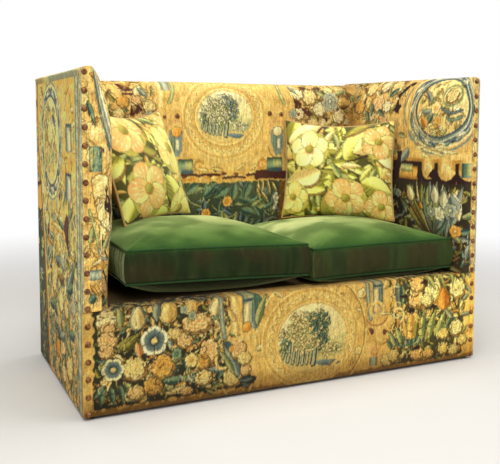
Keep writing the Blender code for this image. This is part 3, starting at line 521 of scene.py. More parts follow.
                sy = y + up * (high + tall * reach * math.sin(angle))
                if ((sx - x) / across) ** 2 + ((sy - y) / up) ** 2 > 0.86:
                    continue
                lit = (math.sin(angle) - lean * math.cos(angle)) * reach + index % 3 * 0.45
                dye = dyes[1] if lit > 0.75 - sunny * 1.6 else (dyes[0], Dye.SAGE)[index % 2]
                size = self.random.uniform(6.6, 10.4)
                self.leaf(sx, sy, size * 1.7, size, self.random.uniform(0, 360), dye,
                          edge=(Dye.NAVY, Dye.OLIVE)[sunny])

    def paint_side_light(self, contrast: float, gain: Shade) -> None:
        """Raise the colours to a power and multiply them, as painted light on a brightly lit side.
        """
        self.paint = np.clip(self.paint, 0.0, 1.0) ** contrast * np.asarray(gain)

    def weave(self, hatch: float = 2.8, streak: float = 0.09, fade: float = 0.10,
              yellowed: Shade = (1.04, 1.01, 0.86)) -> None:
        """Stagger each thread as weft hatching does, and vary its dye along the thread.

        Args:
            hatch: How far the colours of one thread reach into their neighbours.
            streak: The share by which single threads are lighter or darker.
            fade: The share of fading in the faded patches.
            yellowed: What age leaves of its red, green and blue.
        """
        rows, columns = self.paint.shape[:2]
        column, row = np.meshgrid(np.arange(columns), np.arange(rows))
        x, y = column * self.pitch, row * self.pitch

        def swing(across: float, up: float, cell: float, seed: int) -> np.ndarray:
            """Noise from -1 to 1 that is squeezed along one of the threads' ways."""
            return (lattice_noise(x * across, y * up, cell, self.seed + seed) - 0.5) * 2

        stagger = swing(40, 1, 30.0, 11) * hatch / self.pitch
        taken = np.clip(row + np.rint(stagger).astype(int), 0, rows - 1)
        self.paint = np.take_along_axis(self.paint, taken[..., None], axis=0)
        thread, fine = swing(50, 1, 20.0, 23), swing(60, 30, 30.0, 31)
        speck = (self.random.random(column.shape) - 0.5) * 1.2
        rib, knot = swing(8, 1.5, 30.0, 61) * 1.2, swing(1, 1, 3.4, 67) * 1.2
        self.paint *= (1 + (thread + fine + speck + rib + knot) * streak)[..., None]
        worn = lattice_noise(x, y, 90.0, self.seed + 41) * fade
        self.paint += (np.asarray(Dye.STRAW.light) - self.paint) * worn[..., None]
        self.paint = np.clip(self.paint * np.asarray(yellowed), 0.0, 1.0)

    def read(self, x: np.ndarray, y: np.ndarray) -> np.ndarray:
        """The colour at places, smoothed between the picture's points.

        Args:
            x, y: Places in metres.

        Returns:
            Display red, green and blue for each place.
        """
        rows, columns = self.paint.shape[:2]
        u = np.clip((np.asarray(x) * 1000 - self.low[0]) / self.pitch, 0, columns - 1.001)
        v = np.clip((np.asarray(y) * 1000 - self.low[1]) / self.pitch, 0, rows - 1.001)
        column, row = u.astype(int), v.astype(int)
        u, v = (u - column)[..., None], (v - row)[..., None]
        below = self.paint[row, column] * (1 - u) + self.paint[row, column + 1] * u
        above = self.paint[row + 1, column] * (1 - u) + self.paint[row + 1, column + 1] * u
        return below * (1 - v) + above * v


G, S, C, O, SA, OR, SL, N, T, SG, OL, M, W, B, L = (
    Dye.GOLD, Dye.STRAW, Dye.CREAM, Dye.OCHRE, Dye.SALMON, Dye.ORANGE, Dye.SLATE, Dye.NAVY,
    Dye.TEAL, Dye.SAGE, Dye.OLIVE, Dye.MAROON, Dye.WHITE, Dye.BARK, Dye.LIME)


@dataclass(frozen=True)
class SeatFrontDesign:
    """The tapestry on the seat front: dense flowers, a view in an oval, and fruit."""

    low: Spot = (-720, 0)
    high: Spot = (720, 400)

    def draw(self) -> Picture:
        """Paint the design.

        Returns:
            The picture, in millimetres across and up the seat front.
        """
        cloth = Picture(self.low, self.high, G, seed=7)
        self.draw_grounds(cloth)
        self.draw_left_flowers(cloth)
        self.draw_medallion(cloth)
        self.draw_columns(cloth)
        self.draw_fruit(cloth)
        cloth.each(
            cloth.strands, (-700, -240, 30, 400, 330, [S, T, M, O, SL]),
            (-240, 330, 10, 400, 260, [S, O, G, C]), (330, 700, 20, 400, 240, [S, SG, O, M, SL]))
        cloth.weave(yellowed=(1.03, 1.0, 0.8))
        return cloth

    def draw_grounds(self, cloth: Picture) -> None:
        """Lay the dark grounds behind the flowers and the gold border under them."""
        cloth.each(
            cloth.patch,
            ([(-672, 28), (-672, 400), (-285, 400), (-262, 240), (-285, 180), (-238, 100),
              (-165, 55), (-165, 30)], shade("26281a"), 6),
            ([(345, 20), (340, 140), (400, 200), (330, 300), (350, 400), (660, 400), (650, 20)],
             shade("3a3822"), 6),
            ([(-700, 0), (700, 0), (700, 20), (-700, 24)], shade("94723a"), 6))
        cloth.each(
            cloth.meadow, (-660, -250, 35, 400, 520, [OL, G, O, SG, T, S, B, C], (16, 40), 0.12),
            (350, 650, 30, 400, 420, [SG, OL, S, G, T, C, O, C], (16, 40), 0.12),
            (-240, 330, 20, 400, 70, [G, S, G, C], (20, 50), 0.1))

    def draw_left_flowers(self, cloth: Picture) -> None:
        """The flowers on the left, from the back to the front of the bunch."""
        cloth.each(
            cloth.leaf, (-645, 90, 55, 18, 250, T, 0.2), (-625, 90, 60, 18, 275, T, 0.1),
            (-600, 90, 60, 18, 290, T, -0.2), (-645, 95, 50, 18, 220, T, 0.2),
            (-585, 95, 60, 20, 315, SG, -0.3), (-570, 80, 60, 16, 340, T, 0.2),
            (-600, 185, 65, 30, 60, OL, -0.3), (-590, 190, 70, 26, 25, OL, 0.3),
            (-540, 165, 45, 24, 90, SA, 0.2), (-445, 175, 50, 18, 80, SL, 0.3),
            (-440, 150, 50, 20, 40, T, 0.2), (-400, 185, 50, 22, 120, T, 0.2),
            (-470, 85, 90, 24, 350, T, 0.2), (-400, 75, 70, 20, 10, SL, -0.2),
            (-335, 195, 70, 18, 125, C, 0.1), (-310, 205, 70, 16, 112, C, -0.1),
            (-460, 45, 70, 18, 5, C, 0.1), (-360, 50, 80, 20, 20, C, 0.2),
            (-325, 100, 60, 20, 345, SL, 0.1), (-530, 40, 50, 15, 170, T, 0.2))
        cloth.each(
            cloth.rose, (-636, 283, 31, C, 0, 0.85), (-632, 258, 20, SA, 40, 0.8),
            (-634, 224, 28, SA, 10, 0.85), (-638, 194, 22, SA, 75, 0.9),
            (-556, 136, 36, S, 15, 0.85), (-500, 77, 28, O, 0, 0.9), (-552, 64, 24, SA, 30, 0.9),
            (-470, 130, 34, O, 50, 0.95), (-362, 247, 46, SA, 5, 0.62), (-432, 222, 26, S, 20, 0.6),
            (-400, 198, 24, SA, 60, 0.9), (-322, 158, 30, SA, 80, 1.15),
            (-345, 128, 24, O, 10, 0.9), (-340, 78, 28, S, 30, 0.8), (-246, 67, 30, S, 0, 0.95),
            (-203, 85, 20, SA, 45, 0.9), (-395, 45, 20, SA, 0, 0.6), (-240, 145, 22, SA, 10, 0.8))
        self.scatter_sprigs(cloth, -660, -250, 130)
        cloth.each(cloth.tulip, (-543, 245, 70, 90, C, SL), (-455, 255, 75, 80, S, S))
        cloth.each(cloth.leaf, (-485, 262, 75, 24, 95, SL, -0.2), (-595, 255, 65, 22, 85, SG, 0.2))
        cloth.each(cloth.tulip, (-385, 270, 60, 75, S, C), (-305, 262, 62, 70, C, C))
        cloth.each(cloth.blossom, (-375, 268, 14, 5, SL, SL), (-400, 288, 13, 5, SL, SL))
        cloth.blossom(-494, 207, 43, 5, N, S, 18, 1.02, 0.14, rim=W)
        cloth.blossom(-618, 138, 34, 6, N, S, 0, 1.0, 0.2, rim=C)
        cloth.each(cloth.blossom, (-378, 135, 22, 5, S, O, 12), (-425, 160, 16, 5, T, T, 40))
        cloth.each(cloth.scroll, (-276, 203, 24, 200, S, -1), (-272, 118, 26, 150, S, 1))
        cloth.tulip(-185, 30, 30, 150, N)
        cloth.leaf(-175, 52, 50, 18, 175, N, 0.1)

    def scatter_sprigs(self, cloth: Picture, left: float, right: float, count: int) -> None:
        """Small dark and pale curls that break up the flowers."""
        for index in range(count):
            x, z = cloth.random.uniform(left, right), cloth.random.uniform(40, 300)
            turn, size = cloth.random.uniform(0, 360), cloth.random.uniform(8, 18)
            tone = (B.dark, T.dark, S.light, C.light, B.dark, SG.middle)[index % 6]
            cloth.stroke(arc(x, z, size, size * 0.8, turn, turn + 130, 8), 3.4, tone, 0.6)

    def draw_medallion(self, cloth: Picture) -> None:
        """The oval view in its gold frame."""
        x, z = 32, 155
        cloth.spot(x, z, 178, 162, S)
        cloth.ring(x, z, 168, 151, 12, G)
        cloth.ring(x + 2, z - 1, 152, 135, 24, S, beads=30)
        cloth.ring(x + 6, z - 3, 135, 120, 12, G)
        cloth.grove(x + 8, z - 5, 128, 113, (T, C), 1)
        cloth.ring(x + 7, z - 4, 131, 116, 7, S)
        cloth.each(
            cloth.stroke, (arc(x, z, 205, 205, -62, 62), 6, G.dark),
            (arc(x - 2, z, 211, 213, -60, 60), 4, S.light),
            (arc(x, z, 200, 205, 118, 180), 5, S.light))

    def draw_columns(self, cloth: Picture) -> None:
        """The columns, rings and ribbons beside the oval."""
        for left in (-286, 243):
            cloth.band(bow((left + 12, 400), (left - 4, 280), (left + 16, 190)), 14, SL)
        cloth.patch([(-280, 175), (-255, 180), (-215, 100), (-225, 55), (-255, 100)], N.middle, 3)
        cloth.each(
            cloth.leaf, (-222, 62, 115, 30, 108, SL, 0.15), (-240, 75, 100, 18, 112, SG, 0.2),
            edge=N)
        cloth.each(cloth.rose, (-225, 150, 26, SA, 20, 1.1), (-205, 120, 22, S, 50, 0.9))
        for left, right in ((-210, -160), (268, 310)):
            cloth.each(
                cloth.pillar, (left, right, 205, 400, SL), (left + 4, left + 22, 225, 285, C),
                (right - 18, right - 6, 225, 288, N))
            cloth.patch([(left + 2, 292), (left + 36, 292), (left + 36, 300), (left + 2, 300)],
                        N.middle, 1)
        cloth.pillar(-250, -225, 200, 400, S)
        cloth.patch([(-160, 205), (-132, 270), (-158, 330), (-172, 300)], T.middle, 2)
        cloth.leaf(-160, 215, 100, 26, 82, SG, -0.2, edge=T)
        cloth.spot(-196, 214, 14, 15, OR, lined=True)
        cloth.stroke(arc(-196, 205, 40, 30, 190, 350), 5, C.middle)
        cloth.ring(284, 219, 24, 22, 10, S)
        cloth.spot(284, 219, 13, 12, SA)
        cloth.stroke(arc(285, 195, 42, 30, 200, 345), 5, SA.dark)
        cloth.each(
            cloth.spot, (259, 147, 13.5, 12.5, M), (316, 140, 9.5, 9.5, M), (-247, 152, 9, 10, O))
        cloth.pillar(258, 288, 30, 60, SL)
        cloth.ring(278, 78, 17, 15, 8, SA)
        cloth.band(arc(350, 190, 110, 100, 150, 240), 6, G)
        cloth.leaf(-235, 235, 50, 20, 120, S)

    def draw_fruit(self, cloth: Picture) -> None:
        """The gourd in its cup and the flowers on the right."""
        cloth.each(
            cloth.leaf, (345, 400, 140, 30, 280, S, -0.1), (365, 300, 90, 26, 285, SL, -0.2),
            (385, 290, 80, 20, 275, T, -0.1))
        cloth.patch([(335, 85), (330, 105), (380, 115), (470, 108), (485, 85), (450, 78),
                     (380, 80)], T.middle, 3)
        for index in range(9):
            cloth.leaf(342 + 16 * index, 82, 32, 12, 112 - 6 * index, (T, SL, N)[index % 3], 0.1)
        cloth.each(
            cloth.leaf, (385, 85, 75, 22, 100, SG, 0.2), (360, 85, 65, 20, 108, SG, 0.2),
            (470, 95, 105, 30, 92, SG, -0.15), (500, 92, 110, 30, 84, SG, -0.2),
            (535, 95, 100, 28, 78, SG, -0.2), (565, 100, 85, 24, 72, T, -0.2))
        cloth.spot(424, 150, 38, 48, G, lined=True)
        cloth.each(
            cloth.leaf, (424, 102, 94, 44, 90, G, 0.0), (444, 106, 85, 18, 86, OL, -0.1), edge=OL)
        cloth.leaf(405, 108, 85, 18, 96, G, 0.1)
        cloth.scroll(368, 192, 26, 300, C, 1)
        cloth.each(
            cloth.rose, (445, 238, 34, SA, 0, 0.75), (520, 258, 40, C, 10, 0.85),
            (490, 232, 26, C, 50, 0.8), (448, 290, 30, SA, 20, 0.8), (622, 262, 34, C, 0, 1.0),
            (620, 122, 30, C, 20, 0.9), (562, 108, 22, S, 0, 0.8), (650, 75, 22, S, 10, 0.8),
            (455, 48, 30, SA, 0, 0.6), (330, 45, 26, S, 30, 0.8), (565, 55, 24, S, 45, 0.8),
            (500, 45, 22, SA, 60, 0.7), (355, 55, 22, S, 60, 0.9), (610, 45, 22, C, 60, 0.8))
        self.scatter_sprigs(cloth, 340, 660, 90)
        cloth.tulip(566, 190, 80, 95, OR, O)
        cloth.leaf(600, 155, 50, 18, 120, SL, 0.2)
        for x, z, turn in ((480, 320, 320), (530, 330, 310), (580, 340, 300), (630, 350, 300)):
            cloth.leaf(x, z, 75, 20, turn, SG, -0.2)
        for x, z in ((480, 292), (452, 68), (420, 196), (520, 205), (400, 250)):
            cloth.patch([(x - 18, z), (x, z + 9), (x + 20, z + 3), (x + 4, z - 8)], M.dark, 4)
        for x, z, turn in ((645, 215, 20), (645, 165, 350), (660, 270, 300), (660, 330, 290)):
            cloth.leaf(x, z, 45, 16, turn, SL, 0.2)


@dataclass(frozen=True)
class BackDesign:
    """The tapestry on the inside of the back: an oval view over a dark leafy ground."""

    low: Spot = (-660, 290)
    high: Spot = (660, 1100)

    def draw(self) -> Picture:
        """Paint the design.

        Returns:
            The picture, in millimetres across and up the inside of the back.
        """
        cloth = Picture(self.low, self.high, G, seed=19)
        self.draw_lower_ground(cloth)
        self.draw_side_flowers(cloth)
        self.draw_medallion(cloth)
        self.draw_drops(cloth)
        cloth.each(
            cloth.strands, (-650, 650, 640, 1090, 520, [S, G, O, C]),
            (-650, 650, 300, 610, 260, [T, SG, N, SL]))
        cloth.weave(fade=0.16)
        return cloth

    def draw_lower_ground(self, cloth: Picture) -> None:
        """The dark ground with outlined leaves, a strip of painted shade, and the ragged border
        over it.
        """
        cloth.patch([(-660, 290), (660, 290), (660, 612), (-660, 612)], shade("3a4638"), 2)
        cloth.meadow(-650, 650, 300, 600, 150, [N, N, T], (40, 75), 0.0)
        for index in range(110):
            x, z = cloth.random.uniform(-620, 620), cloth.random.uniform(320, 585)
            turn = cloth.random.uniform(0, 360)
            cloth.stroke(bow((x, z), ray(x, z, 50, turn + 50), ray(x, z, 75, turn)), 4,
                         (SG.light, T.light, SL.light)[index % 3], 0.5)
        for _ in range(90):
            cloth.leaf(cloth.random.uniform(-600, 600), cloth.random.uniform(320, 600), 55, 22,
                       cloth.random.uniform(0, 360), (T, N, SG)[int(cloth.random.integers(3))], 0.3,
                       edge=SG)
        for x, z, turn in (
                (-20, 585, 300), (-80, 555, 30), (60, 600, 250), (30, 585, 200), (75, 545, 330),
                (130, 600, 230), (-100, 600, 200), (90, 500, 330)):
            cloth.leaf(x, z, 74, 36, turn, SG, 0.2, edge=T)
            cloth.leaf(x, z, 68, 29, turn, T, 0.2, edge=SG)
        for x, z, radius in (
                (26, 531, 21), (-64, 487, 20), (-330, 470, 20), (360, 450, 21), (-450, 400, 20),
                (100, 400, 20)):
            cloth.blossom(x, z, radius, 6, OR, OR, depth=0.12)
        for x, z, turn in (
                (163, 605, 262), (185, 605, 255), (205, 607, 275), (225, 600, 290), (155, 580, 285),
                (178, 565, 300)):
            cloth.each(cloth.leaf, (x, z, 62, 17, turn, SG, 0.15), (x, z, 45, 8, turn + 6, S, 0.15))
        for x, z in (
                (245, 552), (243, 530), (246, 508), (238, 540), (250, 518), (240, 495), (252, 535)):
            cloth.spot(x, z, 7.5, 8.5, W, lined=True)
        # Painted shade: a dark strip low on the right of the back.
        cloth.patch([(262, 290), (262, 600), (305, 600), (305, 290)], O.dark, 5)
        cloth.strands(262, 305, 320, 600, 90, [OR, M, O], 12)
        cloth.patch([(-660, 605), (660, 605), (660, 660), (270, 640), (140, 652), (0, 642),
                     (-120, 648), (-660, 660)], G.middle, 5)
        for index in range(90):
            x = -620 + 1240 * index / 89
            size = cloth.random.uniform(6, 14)
            dye = (OR, M, S, O)[index % 4]
            cloth.spot(x, 628 + cloth.random.uniform(-10, 12), size, size * 0.6, dye)
        for left, right, height in (
                (-620, -110, 636), (-100, -10, 632), (5, 100, 620), (110, 200, 628),
                (290, 620, 634)):
            cloth.stroke(bow((left, height), ((left + right) / 2, height + 7), (right, height)), 9,
                         M.middle)
        cloth.each(
            cloth.stroke, ([(-620, 619), (-200, 621), (-115, 617)], 9, OR.middle),
            ([(-620, 611), (-300, 612), (140, 611)], 4, O.light))
        cloth.patch([(145, 612), (150, 642), (165, 645), (300, 640), (300, 610)], M.middle, 3)

    def draw_side_flowers(self, cloth: Picture) -> None:
        """The flowers at both ends, over maroon shade."""
        cloth.each(
            cloth.meadow, (-600, -280, 660, 1080, 260, [S, G, C, SG, OL, O, B], (20, 50), 0.25),
            (320, 620, 660, 1080, 260, [S, C, G, SG, OL, O, B], (20, 50), 0.25))
        for points in (
                ((-430, 975), (-400, 965), (-395, 950), (-340, 955), (-335, 948), (-390, 938),
                 (-410, 948)), ((-410, 935), (-360, 935), (-360, 928), (-405, 925)),
                ((-390, 860), (-375, 862), (-370, 885), (-362, 868), (-345, 890), (-325, 868),
                 (-350, 862), (-365, 848)), ((325, 915), (360, 905), (362, 885), (335, 880)),
                ((362, 884), (385, 890), (420, 860), (400, 850), (375, 860)),
                ((365, 978), (390, 975), (385, 958), (360, 960)),
                ((420, 962), (445, 975), (470, 968), (455, 955)),
                ((430, 845), (445, 850), (500, 845), (480, 820), (450, 825))):
            cloth.patch(list(points), M.middle, 5)
        cloth.each(
            cloth.rose, (-335, 840, 22, SA, 0, 1.0), (-405, 905, 24, OR, 10, 0.9),
            (-300, 885, 24, S, 30, 0.9), (-420, 860, 22, S, 50, 0.8), (-350, 910, 20, SA, 0, 0.8),
            (350, 862, 24, C, 15, 0.9), (400, 930, 34, S, 0, 0.9), (450, 880, 30, C, 35, 0.9),
            (345, 940, 26, C, 25, 0.9), (420, 825, 26, S, 0, 0.8), (560, 960, 28, S, 10, 0.9),
            (545, 850, 28, C, 25, 0.9), (500, 960, 24, S, 60, 0.9), (-500, 930, 28, S, 10, 0.9),
            (-480, 850, 26, SA, 50, 0.9), (-540, 800, 30, S, 0, 0.9))
        cloth.each(
            cloth.blossom, (503, 910, 43, 8, SL, SL, 10, 1.0, 0.35),
            (503, 910, 26, 6, SL, W, 30, 1.0, 0.3))
        cloth.each(cloth.leaf, (475, 930, 50, 20, 140, SG, 0.2), (540, 940, 50, 20, 30, SG, -0.2))
        cloth.each(cloth.tulip, (470, 845, 50, 250, C, S), (-355, 925, 50, 60, C, SG))
        cloth.blossom(-300, 852, 20, 5, SL, C, 0, 0.9)
        cloth.leaf(-345, 955, 55, 18, 310, SL, 0.1)
        cloth.blossom(322, 862, 18, 5, SL, SL, 20)
        cloth.leaf(310, 975, 50, 16, 300, SL, 0.2)

    def draw_medallion(self, cloth: Picture) -> None:
        """The oval view in its gold frame, which runs up over the top edge."""
        x, z = 13, 850
        cloth.spot(x, z, 182, 166, S)
        cloth.ring(x, z, 172, 150, 14, G)
        cloth.ring(x, z, 155, 134, 24, S, beads=34)
        cloth.ring(x, z, 136, 116, 12, G)
        cloth.grove(x + 3, z, 118, 97, (SL, W), 1)
        cloth.ring(x + 2, z, 122, 101, 8, S)

    def draw_drops(self, cloth: Picture) -> None:
        """The drops, knobs and rollers on both sides of the oval."""
        for x, z, size in (
                (-240, 848, 7), (-189, 851, 10), (214, 862, 10.5), (267, 859, 9.5), (350, 860, 6)):
            cloth.spot(x, z, size, size * 0.95, M)
        for x, hand in ((250, 1), (-193, -1)):
            cloth.patch([(x - 30, 800), (x + 26, 800), (x + 26, 740), (x + 14, 705), (x - 12, 700),
                         (x - 30, 750)], SL.middle, 2)
            cloth.each(cloth.pillar, (x - 20, x - 6, 720, 778, T), (x - 2, x + 12, 730, 765, W))
            cloth.stroke(arc(x, 806, 36, 30, 0, 180), 8, SA.middle)
            cloth.spot(x, 795, 20, 18, C if hand > 0 else OR, lined=True)
            cloth.stroke(arc(x, 760, 48, 70, 200, 250), 5, G.dark)
            cloth.each(
                cloth.band,
                (bow((x + 50 * hand, 1060), (x - 20 * hand, 980), (x + 30 * hand, 900)), 14, SG),
                (bow((x - 30 * hand, 1060), (x - 70 * hand, 990), (x, 910)), 10, G))
            cloth.scroll(x + 35 * hand, 885, 24, 90, G, -hand)
        cloth.each(
            cloth.pillar, (-270, -240, 885, 1080, S), (-250, -215, 945, 1080, SL),
            (285, 300, 700, 840, C))
        for left, right, rolls in ((200, 272, 178), (-186, -124, -102)):
            cloth.each(
                cloth.pillar, (left, right, 640, 694, T), (left + 30, right - 6, 652, 690, SG),
                upright=False)
            cloth.patch([(left + 10, 640), (right, 640), (right, 652), (left + 20, 655)], N.middle,
                        2)
            cloth.scroll(rolls, 665, 22, 30, OR if rolls > 0 else O, 1)
        for x in (-60, 0, 60, 120):
            cloth.leaf(x, 650, 50, 14, 20 if x > 0 else 160, S, 0.2, edge=O)


@dataclass(frozen=True)
class ArmInsideDesign:
    """The tapestry inside an arm: an oval of fruit, a fringe and tall leaves."""

    low: Spot = (-80, 290)
    high: Spot = (740, 1120)

    def draw(self) -> Picture:
        """Paint the design.

        Returns:
            The picture, in millimetres behind the arm's front and up.
        """
        cloth = Picture(self.low, self.high, G, seed=31)
        self.draw_oval(cloth)
        self.draw_far_flowers(cloth)
        self.draw_fringe(cloth)
        self.draw_plants(cloth)
        cloth.each(
            cloth.strands, (0, 720, 700, 1100, 260, [S, G, O, C]),
            (0, 720, 300, 640, 200, [SG, M, SL, O]))
        cloth.each(
            cloth.patch, ([(-120, 1024), (780, 1024), (780, 1160), (-120, 1160)], S.light, 2),
            ([(-120, 1030), (460, 1030), (400, 1160), (-120, 1160)], SL.light, 2))
        cloth.weave()
        return cloth

    def draw_oval(self, cloth: Picture) -> None:
        """The blue framed oval and the fruit inside it."""
        x, z = 92, 880
        cloth.spot(x, z, 150, 138, S)
        cloth.meadow(0, 190, 780, 970, 110, [S, G, SG, C, O, OL], (15, 40), 0.3)
        cloth.ring(x + 6, z, 142, 126, 30, SL)
        for out, dye in ((133, W), (141, N), (149, W), (155, SG)):
            cloth.ring(x + 6, z, out, out - 16, 3, dye)
        cloth.ring(x + 8, z, 160, 143, 8, C)
        for index in range(34):
            turn = -150 + 8.4 * index
            px = x + 6 + 147 * math.cos(math.radians(turn))
            pz = z + 131 * math.sin(math.radians(turn))
            cloth.leaf(px, pz, 34, 13, turn + 78 + 22 * (index % 2), (SL, W, SL, N)[index % 4], 0.3,
                       edge=SL)
        cloth.each(cloth.ring, (x, z + 2, 121, 106, 8, N), (x + 10, z, 175, 160, 6, SL))
        cloth.each(
            cloth.band, (bow((0, 872), (45, 852), (85, 885)), 7, N),
            (bow((0, 850), (35, 828), (50, 850)), 9, T))
        cloth.ring(46, 922, 42, 36, 6, SG)
        cloth.rose(46, 925, 24, S, 10)
        cloth.each(cloth.blossom, (112, 882, 24, 5, S, OR, 20), (92, 838, 16, 5, O, O, 0))
        cloth.each(cloth.leaf, (130, 870, 50, 20, 350, SL, 0.1), (120, 860, 60, 24, 300, T, 0.3))
        cloth.tulip(150, 815, 50, 50, OR, S)
        cloth.leaf(140, 905, 55, 18, 60, SL, -0.3)
        for px, pz in ((202, 765), (228, 780)):
            cloth.scroll(px, pz, 16, 60, SL, -1)
        cloth.each(
            cloth.band, (bow((235, 1080), (262, 900), (255, 760)), 7, G),
            (bow((222, 1080), (250, 920), (244, 800)), 5, S))
        cloth.stroke([(276, 1100), (282, 880), (272, 740)], 4, G.dark)

    def draw_far_flowers(self, cloth: Picture) -> None:
        """The flowers towards the back corner."""
        cloth.meadow(300, 720, 720, 1100, 330, [C, S, SG, G, OL, B, O], (20, 50), 0.25)
        cloth.patch([(270, 985), (250, 975), (300, 945), (325, 910), (345, 870), (310, 865),
                     (300, 890), (330, 930), (300, 955)], M.dark, 5)
        for x, z, radius, dye in (
                (440, 905, 36, SA), (385, 890, 24, C), (350, 965, 30, S), (400, 845, 24, SA),
                (500, 960, 28, S), (470, 855, 20, C), (550, 890, 28, OR), (600, 950, 26, S),
                (420, 970, 26, C)):
            cloth.rose(x, z, radius, dye, 15, 0.9)
        for x, z, turn in ((435, 875, 200), (470, 900, 260), (500, 870, 240), (375, 925, 130)):
            cloth.leaf(x, z, 50, 18, turn, T, 0.2)

    def draw_fringe(self, cloth: Picture) -> None:
        """Pale acanthus, the scalloped gold fringe on maroon, and the drop."""
        cloth.each(
            cloth.patch, ([(-80, 612), (-80, 690), (740, 690), (740, 612)], M.dark, 2),
            ([(-80, 690), (740, 690), (740, 700), (-80, 700)], O.middle, 2))
        for x, z, length, turn in (
                (170, 735, 70, 178), (120, 728, 70, 182), (70, 732, 60, 176), (180, 722, 60, 190),
                (210, 742, 50, 170), (100, 742, 50, 160)):
            cloth.leaf(x, z, length, 16, turn, C, 0.2, edge=SG)
        for left in (-70, 12, 100, 330, 420, 510, 600):
            cloth.spot(left + 37, 662, 36, 34, G, lined=True)
            cloth.pillar(left + 1, left + 73, 664, 702, G)
            cloth.spot(left + 37, 668, 24, 20, S)
        cloth.each(cloth.pillar, (-68, -6, 640, 690, T), (-58, -20, 648, 684, SG))
        cloth.each(cloth.pillar, (195, 296, 622, 672, O), (225, 288, 650, 678, SG), upright=False)
        cloth.each(
            cloth.patch, ([(86, 635), (98, 668), (118, 664), (142, 634)], M.dark, 2),
            ([(158, 630), (178, 672), (196, 670), (200, 630)], M.dark, 2))
        cloth.leaf(246, 735, 72, 34, 308, SL, 0.05)
        cloth.patch([(300, 630), (290, 680), (285, 725), (310, 722), (320, 630)], M.dark, 3)

    def draw_plants(self, cloth: Picture) -> None:
        """The dark ground with tall leaves that spread from the seat."""
        cloth.patch([(-80, 290), (740, 290), (740, 618), (-80, 618)], shade("2c2418"), 3)
        cloth.meadow(-70, 720, 300, 580, 260, [SG, T, SL, SL, OL, B], (30, 60), 0.1)
        for turn, length, dye in (
                (8, 200, OL), (18, 200, B), (28, 200, OL), (38, 190, C), (46, 190, B),
                (56, 170, SG), (66, 160, SL), (78, 150, SG), (90, 140, T), (102, 130, SG),
                (116, 120, SL), (130, 110, SG), (145, 100, T)):
            cloth.leaf(115, 425, length, 24, turn, dye, 0.55 if turn < 60 else -0.2)
        for turn, length, dye in (
                (20, 150, OL), (40, 160, SG), (60, 160, SL), (80, 150, T), (100, 150, SG),
                (120, 150, C), (140, 160, SL)):
            cloth.leaf(430, 420, length, 26, turn, dye, 0.3)
        for x, z, turn, dye in (
                (20, 525, 95, C), (45, 530, 80, SL), (10, 530, 100, SL), (65, 535, 88, W),
                (98, 545, 90, SL), (125, 545, 84, SL), (150, 530, 95, SG), (175, 535, 88, OL)):
            cloth.leaf(x, z, 80, 20, turn, dye, 0.1)
        for x, z, turn, dye in (
                (15, 440, 60, T), (40, 450, 75, SL), (60, 430, 100, SL), (30, 470, 110, SL),
                (75, 470, 82, T), (100, 450, 120, SL), (5, 490, 88, C), (50, 500, 68, W),
                (90, 490, 105, SL), (125, 480, 70, C), (145, 500, 110, SG), (165, 490, 84, T)):
            cloth.leaf(x, z, 75, 19, turn, dye, 0.15, edge=SL)
        cloth.each(
            cloth.tulip, (15, 515, 70, 84, SL, W), (60, 530, 68, 96, W, SL),
            (100, 545, 65, 88, W, SL), (225, 545, 60, 70, C, SG))
        cloth.each(
            cloth.blossom, (30, 525, 26, 6, SL, C, 10), (85, 508, 26, 7, W, C, 0),
            (128, 512, 24, 6, SL, W, 30), (18, 452, 22, 5, OR, S, 0))
        cloth.tulip(180, 515, 30, 80, OR, OR)
        cloth.blossom(400, 550, 30, 6, SL, C, 10)
        cloth.rose(520, 530, 30, SA)


